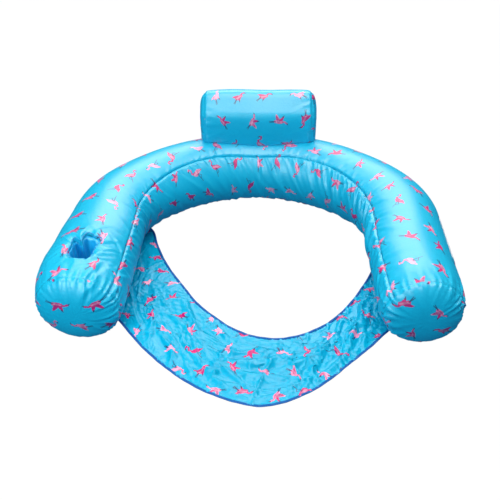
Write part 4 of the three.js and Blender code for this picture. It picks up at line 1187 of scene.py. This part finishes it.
# ------------------------------------------------------------------ materials
class Graph:
    """Short helpers to build a shader graph."""

    def __init__(self, tree):
        self.t = tree
        self.n = 0

    def node(self, kind, **props):
        nd = self.t.nodes.new(kind)
        for k, v in props.items():
            setattr(nd, k, v)
        self.n += 1
        nd.location = (160 * (self.n % 24), -160 * (self.n // 24))
        return nd

    def put(self, sock, val):
        if isinstance(val, bpy.types.NodeSocket):
            self.t.links.new(val, sock)
        else:
            sock.default_value = val

    def math(self, op, *args, clamp=False):
        nd = self.node("ShaderNodeMath", operation=op, use_clamp=clamp)
        for i, a in enumerate(args):
            self.put(nd.inputs[i], a)
        return nd.outputs[0]

    def vec(self, op, *args):
        nd = self.node("ShaderNodeVectorMath", operation=op)
        k = 0
        for a in args:
            if op == "SCALE" and k == 1:
                self.put(nd.inputs["Scale"], a)
            else:
                self.put(nd.inputs[k], a)
            k += 1
        return nd.outputs["Value"] if op in ("DOT_PRODUCT", "LENGTH", "DISTANCE") else nd.outputs["Vector"]

    def mix(self, f, a, b):
        nd = self.node("ShaderNodeMix", data_type="RGBA")
        self.put(nd.inputs["Factor"], f)
        self.put(nd.inputs[6], a)
        self.put(nd.inputs[7], b)
        return nd.outputs[2]

    def edge(self, d, w):
        """1 inside (d < 0), 0 outside, soft over w."""
        return self.math("SUBTRACT", 1.0, self.math("MULTIPLY_ADD", d, 1.0 / w, 0.5, clamp=True), clamp=True)


# Wading birds of our own drawing: tapered strokes (from, to, radius from, radius to) in mm,
# for a standing bird, one flying with raised wings, and one gliding.
STROKES = [
    # body
    (((-13, -2), (8, 4), 7.4, 8.4), ((-13, 0), (9, 1), 6.0, 5.6), ((-15, 0), (9, 0), 6.2, 5.8)),
    # tail or wing
    (((-26, -9), (-8, 1), 2.0, 7.4), ((-2, 2), (-14, 20), 8.2, 3.8), ((-6, 2), (-19, 12), 8.6, 3.8)),
    # belly or second wing
    (((-9, -5), (5, -4), 4.5, 5.6), ((4, 2), (11, 20), 7.4, 3.4), ((0, -1), (-9, -11), 6.6, 2.8)),
    # neck
    (((9, 6), (17, 16), 4.4, 3.0), ((8, 1), (19, 4), 3.8, 2.6), ((7, 1), (17, 7), 3.8, 2.6)),
    (((17, 16), (9, 27), 3.0, 2.6), ((19, 4), (27, 0), 2.6, 2.2), ((17, 7), (25, 5), 2.6, 2.2)),
    (((9, 27), (13, 36), 2.6, 2.4), ((-14, 20), (-19, 26), 3.6, 1.0), ((-19, 12), (-26, 14), 3.4, 1.0)),
    # head
    (((13, 36), (18, 35), 3.8, 3.0), ((27, 0), (31, -1), 3.2, 2.6), ((25, 5), (29, 3), 3.2, 2.6)),
]
DARKS = [
    # beak
    (((19, 34), (22, 28), 2.4, 0.8), ((32, -2), (36, -6), 2.1, 0.7), ((30, 2), (33, -3), 2.1, 0.7)),
    # legs
    (((0, -6), (3, -41), 1.5, 1.1), ((-13, -1), (-37, -3), 1.6, 1.0), ((-16, -1), (-37, -9), 1.6, 1.0)),
    (((-3, -6), (-10, -21), 1.5, 1.2), ((-13, -1), (-34, -8), 1.5, 1.0), ((-16, -1), (-34, -13), 1.5, 1.0)),
    # folded leg, or wing tip
    (((-10, -21), (2, -27), 1.2, 1.0), ((10, 21), (14, 27), 2.8, 0.8), ((-9, -12), (-13, -18), 2.4, 0.8)),
]


def print_group():
    g = bpy.data.node_groups.new("bird_print", "ShaderNodeTree")
    g.interface.new_socket("Vector", in_out="INPUT", socket_type="NodeSocketVector")
    g.interface.new_socket("Ground", in_out="INPUT", socket_type="NodeSocketColor")
    g.interface.new_socket("Color", in_out="OUTPUT", socket_type="NodeSocketColor")
    G = Graph(g)
    gin, gout = G.node("NodeGroupInput"), G.node("NodeGroupOutput")
    CWD, CHT = 0.0800, 0.0745
    sep = G.node("ShaderNodeSeparateXYZ")
    G.put(sep.inputs[0], gin.outputs["Vector"])
    v = G.math("DIVIDE", sep.outputs[1], CHT)
    row = G.math("FLOOR", v)
    stag = G.math("MULTIPLY", row, 0.37)
    u = G.math("ADD", G.math("DIVIDE", sep.outputs[0], CWD), stag)
    col = G.math("FLOOR", u)
    fu, fv = G.math("SUBTRACT", G.math("SUBTRACT", u, col), 0.5), G.math("SUBTRACT", G.math("SUBTRACT", v, row), 0.5)
    cell = G.node("ShaderNodeCombineXYZ")
    G.put(cell.inputs[0], G.math("ADD", col, 17.5))
    G.put(cell.inputs[1], G.math("ADD", row, 31.5))
    wn = G.node("ShaderNodeTexWhiteNoise", noise_dimensions="2D")
    G.put(wn.inputs["Vector"], cell.outputs[0])
    s1 = G.node("ShaderNodeSeparateColor")
    G.put(s1.inputs[0], wn.outputs["Color"])
    wn2 = G.node("ShaderNodeTexWhiteNoise", noise_dimensions="2D")
    G.put(wn2.inputs["Vector"], G.vec("ADD", cell.outputs[0], (101.3, 57.7, 0)))
    s2 = G.node("ShaderNodeSeparateColor")
    G.put(s2.inputs[0], wn2.outputs["Color"])
    r1, r2, r3 = s1.outputs[0], s1.outputs[1], s1.outputs[2]
    r4, r5, r6 = s2.outputs[0], s2.outputs[1], s2.outputs[2]
    # which bird
    w0 = G.math("LESS_THAN", r3, 0.34)
    w2 = G.math("GREATER_THAN", r3, 0.70)
    w1 = G.math("SUBTRACT", G.math("SUBTRACT", 1.0, w0), w2)
    # small birds may wander in their cell
    room = G.math("MULTIPLY_ADD", w0, -0.0040, 0.0110)
    jx = G.math("MULTIPLY", G.math("MULTIPLY_ADD", r4, 2.0, -1.0), room)
    jy = G.math("MULTIPLY", G.math("MULTIPLY_ADD", r5, 2.0, -1.0), room)
    px = G.math("MULTIPLY", G.math("SUBTRACT", G.math("MULTIPLY", fu, CWD), jx), 1000.0)
    py = G.math("MULTIPLY", G.math("SUBTRACT", G.math("MULTIPLY", fv, CHT), jy), 1000.0)
    ang = G.math("MULTIPLY", r1, 6.28318)
    c, s = G.math("COSINE", ang), G.math("SINE", ang)
    qx = G.math("ADD", G.math("MULTIPLY", px, c), G.math("MULTIPLY", py, s))
    qy = G.math("SUBTRACT", G.math("MULTIPLY", py, c), G.math("MULTIPLY", px, s))
    flip = G.math("MULTIPLY_ADD", G.math("LESS_THAN", r2, 0.5), -2.0, 1.0)
    grow = G.math("MULTIPLY_ADD", r6, 0.24, 1.22)
    comb = G.node("ShaderNodeCombineXYZ")
    G.put(comb.inputs[0], G.math("MULTIPLY", G.math("MULTIPLY", qx, flip), grow))
    G.put(comb.inputs[1], G.math("MULTIPLY", qy, grow))
    p = comb.outputs[0]
    # uneven edges, as printed
    nz = G.node("ShaderNodeTexNoise", noise_dimensions="2D")
    G.put(nz.inputs["Vector"], gin.outputs["Vector"])
    nz.inputs["Scale"].default_value = 210.0
    nz.inputs["Detail"].default_value = 2.0

    def endpoint(vals):
        a = G.vec("MULTIPLY", (vals[0][0], vals[0][1], 0), w0)
        a = G.t.nodes[-1]
        return a

    def mixed_vec(vals):
        n0 = G.node("ShaderNodeVectorMath", operation="SCALE")
        n0.inputs[0].default_value = (vals[0][0], vals[0][1], 0)
        G.put(n0.inputs["Scale"], w0)
        n1 = G.node("ShaderNodeVectorMath", operation="MULTIPLY_ADD")
        n1.inputs[0].default_value = (vals[1][0], vals[1][1], 0)
        G.put(n1.inputs[1], w1)
        G.put(n1.inputs[2], n0.outputs[0])
        n2 = G.node("ShaderNodeVectorMath", operation="MULTIPLY_ADD")
        n2.inputs[0].default_value = (vals[2][0], vals[2][1], 0)
        G.put(n2.inputs[1], w2)
        G.put(n2.inputs[2], n1.outputs[0])
        return n2.outputs[0]

    def mixed(vals):
        a = G.math("MULTIPLY", w0, vals[0])
        a = G.math("MULTIPLY_ADD", w1, vals[1], a)
        return G.math("MULTIPLY_ADD", w2, vals[2], a)

    def stroke(three):
        a = mixed_vec([t[0] for t in three])
        b = mixed_vec([t[1] for t in three])
        ra = sum(t[2] for t in three) / 3
        rb = sum(t[3] for t in three) / 3
        if max(abs(t[2] - ra) for t in three) > 0.35:
            ra = mixed([t[2] for t in three])
        if max(abs(t[3] - rb) for t in three) > 0.35:
            rb = mixed([t[3] for t in three])
        pa, ba = G.vec("SUBTRACT", p, a), G.vec("SUBTRACT", b, a)
        h = G.math("DIVIDE", G.vec("DOT_PRODUCT", pa, ba), G.vec("DOT_PRODUCT", ba, ba), clamp=True)
        off = G.vec("LENGTH", G.vec("SUBTRACT", pa, G.vec("SCALE", ba, h)))
        rad = G.math("ADD", ra, G.math("MULTIPLY", h, G.math("SUBTRACT", rb, ra)))
        return G.math("SUBTRACT", off, rad)

    ds = [stroke(t) for t in STROKES]
    pink = ds[0]
    for d in ds[1:]:
        pink = G.math("SMOOTH_MIN", pink, d, 2.4)
    dark = None
    for t in DARKS:
        d = stroke(t)
        dark = d if dark is None else G.math("MINIMUM", dark, d)
    wob = G.math("MULTIPLY_ADD", nz.outputs["Fac"], 2.4, -1.2)
    body = G.edge(G.math("ADD", pink, wob), 0.9)
    ink = G.edge(dark, 0.7)
    # feathers: pale and hot pink streaks, darker plumes at the wings
    st = G.node("ShaderNodeTexNoise", noise_dimensions="2D")
    G.put(st.inputs["Vector"], G.vec("MULTIPLY", p, (0.055, 0.14, 0)))
    st.inputs["Scale"].default_value = 1.0
    st.inputs["Detail"].default_value = 3.0
    tone = G.math("ADD", G.math("MULTIPLY_ADD", st.outputs["Fac"], 2.6, -1.32), G.math("MULTIPLY_ADD", r4, 1.9, -0.80), clamp=True)
    colr = G.mix(tone, (0.66, 0.006, 0.160, 1), (0.96, 0.36, 0.55, 1))
    core = G.math("MULTIPLY", G.edge(G.math("ADD", ds[0], 3.2), 4.5), G.math("GREATER_THAN", r5, 0.35))
    colr = G.mix(G.math("MULTIPLY", core, 0.45), colr, (0.98, 0.55, 0.68, 1))
    plume = G.edge(G.math("SUBTRACT", ds[1], -2.0), 2.2)
    deep = G.math("MULTIPLY", G.math("LESS_THAN", r6, 0.45), G.math("MULTIPLY", plume, 0.45))
    colr = G.mix(deep, colr, (0.30, 0.010, 0.150, 1))
    out = G.mix(body, gin.outputs["Ground"], colr)
    out = G.mix(G.math("MULTIPLY", ink, 0.92), out, (0.025, 0.020, 0.115, 1))
    G.put(gout.inputs["Color"], out)
    return g


PRINT = print_group()


def cloth_material(name, ground, printed=True, rough=0.375, sheen=0.0, spec=1.0, crinkle=0.35, weave=0.10):
    m = bpy.data.materials.new(name)
    m.use_nodes = True
    t = m.node_tree
    G = Graph(t)
    bs = t.nodes["Principled BSDF"]
    tc = G.node("ShaderNodeTexCoord")
    uv = tc.outputs["UV"]
    # slightly uneven dye
    dye = G.node("ShaderNodeTexNoise")
    G.put(dye.inputs["Vector"], tc.outputs["Object"])
    dye.inputs["Scale"].default_value = 5.0
    dye.inputs["Detail"].default_value = 3.0
    g2 = tuple(c * 0.90 for c in ground[:3]) + (1,)
    base = G.mix(G.math("MULTIPLY", dye.outputs["Fac"], 0.6), ground, g2)
    if printed:
        pg = G.node("ShaderNodeGroup", node_tree=PRINT)
        G.put(pg.inputs["Vector"], uv)
        G.put(pg.inputs["Ground"], base)
        base = pg.outputs["Color"]
    G.put(bs.inputs["Base Color"], base)
    bs.inputs["Roughness"].default_value = rough
    bs.inputs["Specular IOR Level"].default_value = spec
    bs.inputs["Sheen Weight"].default_value = sheen
    bs.inputs["Sheen Roughness"].default_value = 0.35
    bs.inputs["Sheen Tint"].default_value = (0.75, 0.95, 1.0, 1)
    n1 = G.node("ShaderNodeTexNoise")
    G.put(n1.inputs["Vector"], tc.outputs["Object"])
    n1.inputs["Scale"].default_value = 95.0
    n1.inputs["Detail"].default_value = 4.0
    n1.inputs["Roughness"].default_value = 0.55
    b1 = G.node("ShaderNodeBump")
    b1.inputs["Strength"].default_value = crinkle
    b1.inputs["Distance"].default_value = 0.0012
    G.put(b1.inputs["Height"], n1.outputs["Fac"])
    sx_ = G.node("ShaderNodeSeparateXYZ")
    G.put(sx_.inputs[0], uv)
    wa = G.math("SINE", G.math("MULTIPLY", sx_.outputs[0], 2 * math.pi / 0.0011))
    wb = G.math("SINE", G.math("MULTIPLY", sx_.outputs[1], 2 * math.pi / 0.0011))
    b2 = G.node("ShaderNodeBump")
    b2.inputs["Strength"].default_value = weave
    b2.inputs["Distance"].default_value = 0.0002
    G.put(b2.inputs["Height"], G.math("MULTIPLY", wa, wb))
    G.put(b2.inputs["Normal"], b1.outputs[0])
    G.put(bs.inputs["Normal"], b2.outputs[0])
    return m


def plain(name, col, rough=0.4, metal=0.0, bump=0.0, bscale=300.0, spec=0.5, trans=0.0, coat=0.0):
    m = bpy.data.materials.new(name)
    m.use_nodes = True
    t = m.node_tree
    G = Graph(t)
    bs = t.nodes["Principled BSDF"]
    tc = G.node("ShaderNodeTexCoord")
    n1 = G.node("ShaderNodeTexNoise")
    G.put(n1.inputs["Vector"], tc.outputs["Object"])
    n1.inputs["Scale"].default_value = 26.0
    n1.inputs["Detail"].default_value = 3.0
    c2 = tuple(c * 0.86 for c in col[:3]) + (1,)
    G.put(bs.inputs["Base Color"], G.mix(n1.outputs["Fac"], col, c2))
    bs.inputs["Roughness"].default_value = rough
    bs.inputs["Metallic"].default_value = metal
    bs.inputs["Specular IOR Level"].default_value = spec
    bs.inputs["Transmission Weight"].default_value = trans
    bs.inputs["Coat Weight"].default_value = coat
    if bump:
        n2 = G.node("ShaderNodeTexNoise")
        G.put(n2.inputs["Vector"], tc.outputs["Object"])
        n2.inputs["Scale"].default_value = bscale
        n2.inputs["Detail"].default_value = 3.0
        b = G.node("ShaderNodeBump")
        b.inputs["Strength"].default_value = bump
        b.inputs["Distance"].default_value = 0.0004
        G.put(b.inputs["Height"], n2.outputs["Fac"])
        G.put(bs.inputs["Normal"], b.outputs[0])
    return m


CYAN = (0.001, 0.485, 0.735, 1)
M_COVER = cloth_material("cover_satin", CYAN)
# painted shade: the seat's cloth is a darker copy of the cover's blue, so the flat, upturned seat reads less lit than
# the lamps make it
M_SLING_SHADED = cloth_material("sling_satin", (0.001, 0.415, 0.655, 1), rough=0.24, sheen=0.0, spec=0.38, crinkle=0.30)
M_POCKET = cloth_material("pocket_lining_cloth", (0.002, 0.470, 0.860, 1), printed=False, rough=0.42, sheen=0.10)
M_HEM = cloth_material("hem_tape_cloth", (0.002, 0.105, 0.380, 1), printed=False, rough=0.6, sheen=0.0, spec=0.2, crinkle=0.2, weave=0.3)
M_EDGE = cloth_material("pocket_edge_cloth", (0.004, 0.300, 0.600, 1), printed=False, rough=0.5, sheen=0.1, crinkle=0.2, weave=0.3)
M_PATCH = cloth_material("patch_cloth", (0.86, 0.87, 0.88, 1), printed=False, rough=0.55, sheen=0.1, crinkle=0.15, weave=0.25)
M_ZTAPE = cloth_material("zip_tape_cloth", (0.004, 0.360, 0.660, 1), printed=False, rough=0.6, sheen=0.1, crinkle=0.1, weave=0.35)
M_FILM = plain("vinyl_film", (0.62, 0.74, 0.80, 1), rough=0.28, coat=0.2, bump=0.1, bscale=60)
M_COIL = plain("nylon_coil", (0.01, 0.30, 0.55, 1), rough=0.38)
M_METAL = plain("nickel", (0.60, 0.61, 0.63, 1), rough=0.28, metal=1.0, bump=0.06, bscale=500)
M_VALVE = plain("soft_vinyl", (0.78, 0.84, 0.88, 1), rough=0.32, bump=0.05, bscale=250, coat=0.15)
# ------------------------------------------------------------------ which piece is what
def paint(ob, mat):
    ob.data.materials.clear()
    ob.data.materials.append(mat)


for ob, node, mat in (
    (top_cloth, "cover_top_panel", M_COVER),
    (inner_cloth, "cover_inner_panel", M_COVER),
    (bottom_cloth, "cover_bottom_panel", M_COVER),
    (end_cloth_l, "end_panel_left", M_COVER),
    (end_cloth_r, "end_panel_right", M_COVER),
):
    solidify(ob, 0.0007, -1)
    apply_all(ob)
    paint(ob, mat)
    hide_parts(node)
    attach(ob, "float")

paint(air_bladder, M_FILM)
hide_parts("main_bladder")
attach(air_bladder, "float")

solidify(pocket, 0.0007, 1)
apply_all(pocket)
paint(pocket, M_POCKET)
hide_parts("cup_pocket")
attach(pocket, "float")
paint(pocket_edge, M_EDGE)
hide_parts("cup_binding")
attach(pocket_edge, "float")

solidify(sling, 0.0006, 0)
apply_all(sling)
paint(sling, M_SLING_SHADED)
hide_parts("sling_seat")
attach(sling, "float")
for ob, node in ((hem_rear, "sling_rear_binding"), (hem_front, "sling_front_binding")):
    paint(ob, M_HEM)
    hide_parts(node)
    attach(ob, "float")

apply_all(patch)
paint(patch, M_PATCH)
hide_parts("side_patch")
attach(patch, "float")

for ob in [head_wrap] + head_ends:
    solidify(ob, 0.0007, -1)
    apply_all(ob)
    paint(ob, M_COVER)
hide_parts("headrest_wrap_panel", "headrest_base_panel", "headrest_skirt")
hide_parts("headrest_end_left")
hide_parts("headrest_end_right")
for ob in [head_wrap] + head_ends:
    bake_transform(ob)
paint(head_air, M_FILM)
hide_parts("headrest_bladder")
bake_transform(head_air)

# CAD pieces that stay: finer edges and their finishes
def dress(node, mat, bevel=0.0, seg=2):
    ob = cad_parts[node]
    ob.data.materials.clear()
    ob.data.materials.append(mat)
    if bevel:
        b = ob.modifiers.new("edge", "BEVEL")
        b.width, b.segments, b.limit_method, b.angle_limit = bevel, seg, "ANGLE", math.radians(32)
    for p in ob.data.polygons:
        p.use_smooth = False
    return ob


for n in ("zipper_tape_upper", "zipper_tape_lower", "headrest_zipper_tape_upper", "headrest_zipper_tape_lower"):
    dress(n, M_ZTAPE, 0.0003)
for n in ("zipper_teeth", "headrest_zipper_teeth"):
    dress(n, M_COIL, 0.0)
for n in ("zipper_front_stop", "zipper_rear_stop", "zipper_slider", "zipper_pull_tab", "headrest_zipper_front_stop", "headrest_zipper_rear_stop", "headrest_zipper_slider", "headrest_zipper_pull_tab"):
    dress(n, M_METAL, 0.00035)
for n in ("valve_base", "valve_swivel_ring", "valve_tether", "valve_cap", "headrest_valve_base", "headrest_valve_plug"):
    dress(n, M_VALVE, 0.0004)
dress("valve_check_flap", M_FILM, 0.0002)

# ------------------------------------------------------------------ ground, light and camera
ground_me = bpy.data.meshes.new("ground")
ground_me.from_pydata([(-14, -10, -0.0006), (14, -10, -0.0006), (14, 18, -0.0006), (-14, 18, -0.0006)], [], [(0, 1, 2, 3)])
ground = bpy.data.objects.new("ground", ground_me)
scene.collection.objects.link(ground)
gm = bpy.data.materials.new("white_ground")
gm.use_nodes = True
b = gm.node_tree.nodes["Principled BSDF"]
b.inputs["Base Color"].default_value = (0.02, 0.02, 0.02, 1)
b.inputs["Roughness"].default_value = 1.0
b.inputs["Specular IOR Level"].default_value = 0.0
b.inputs["Emission Color"].default_value = (1, 1, 1, 1)
b.inputs["Emission Strength"].default_value = 1.0
ground_me.materials.append(gm)
# the white sheet doesn't light the object: the sky below does, so the undersides stay deep
ground.visible_diffuse = ground.visible_glossy = False

# a white sweep all round, far behind, for every side view
N_BACK = 64
ring_ = [(13.5 * math.cos(2 * math.pi * i / N_BACK), 4 + 13.5 * math.sin(2 * math.pi * i / N_BACK)) for i in range(N_BACK)]
back_v = [(x, y, -0.3) for x, y in ring_] + [(x, y, 15.0) for x, y in ring_] + [(0, 4, 15.0)]
back_f = [(i, (i + 1) % N_BACK, N_BACK + (i + 1) % N_BACK, N_BACK + i) for i in range(N_BACK)]
back_f += [(N_BACK + i, N_BACK + (i + 1) % N_BACK, 2 * N_BACK) for i in range(N_BACK)]
back_me = bpy.data.meshes.new("backdrop")
back_me.from_pydata(back_v, [], back_f)
backdrop = bpy.data.objects.new("backdrop", back_me)
scene.collection.objects.link(backdrop)
back_me.materials.append(gm)
for k_ in ("visible_diffuse", "visible_glossy", "visible_shadow", "visible_transmission"):
    setattr(backdrop, k_, False)

world = bpy.data.worlds.new("studio")
scene.world = world
world.use_nodes = True
WG = Graph(world.node_tree)
wtc = WG.node("ShaderNodeTexCoord")
wsep = WG.node("ShaderNodeSeparateXYZ")
WG.put(wsep.inputs[0], wtc.outputs["Generated"])
wr = WG.node("ShaderNodeValToRGB")
WG.put(wr.inputs[0], WG.math("MULTIPLY_ADD", wsep.outputs[2], 0.5, 0.5, clamp=True))
el = wr.color_ramp.elements
el[0].position, el[0].color = 0.0, (0.025, 0.14, 0.24, 1)
el[1].position, el[1].color = 1.0, (0.34, 0.46, 0.50, 1)
for p_, c_ in ((0.42, (0.03, 0.185, 0.325, 1)), (0.55, (0.06, 0.275, 0.42, 1)), (0.75, (0.15, 0.315, 0.38, 1))):
    e_ = el.new(p_)
    e_.color = c_
bg_ = world.node_tree.nodes["Background"]
WG.put(bg_.inputs[0], wr.outputs[0])
bg_.inputs[1].default_value = 1.0


def area(name, pos, target, size, power, size_y=None, col=(1, 1, 1)):
    li = bpy.data.lights.new(name, "AREA")
    li.energy, li.size, li.color = power, size, col
    if size_y:
        li.shape, li.size_y = "RECTANGLE", size_y
    ob = bpy.data.objects.new(name, li)
    scene.collection.objects.link(ob)
    d = Vector(target) - Vector(pos)
    ob.matrix_world = Matrix.Translation(pos) @ d.to_track_quat("-Z", "Y").to_matrix().to_4x4()
    return ob


area("overhead", (0.1, -0.34, 2.3), (0.0, 0.0, 0.1), 2.0, 50, 2.0, (1.0, 0.86, 0.80))
area("behind", (0.1, 2.0, 1.75), (0.0, 0.1, 0.15), 2.4, 40, 1.3, (1.0, 0.88, 0.85))
area("front_fill", (-0.95, -1.45, 1.0), (-0.1, 0.0, 0.1), 0.9, 15, 0.7, (0.80, 1.0, 1.0))

cam_d = bpy.data.cameras.new("cam")
cam = bpy.data.objects.new("cam", cam_d)
scene.collection.objects.link(cam)
cam.matrix_world = Matrix((
    (0.9995816, -0.01032222, 0.02701989, 0.04603),
    (0.02785242, 0.59546245, -0.80290019, -1.31019),
    (-0.00780162, 0.80331683, 0.59550081, 1.01447),
    (0, 0, 0, 1),
))
cam_d.sensor_width = 36
cam_d.lens = 43.3106
cam_d.shift_x, cam_d.shift_y = -0.01007, 0.00514
scene.camera = cam
scene.view_settings.view_transform = "Standard"
scene.view_settings.look = "None"
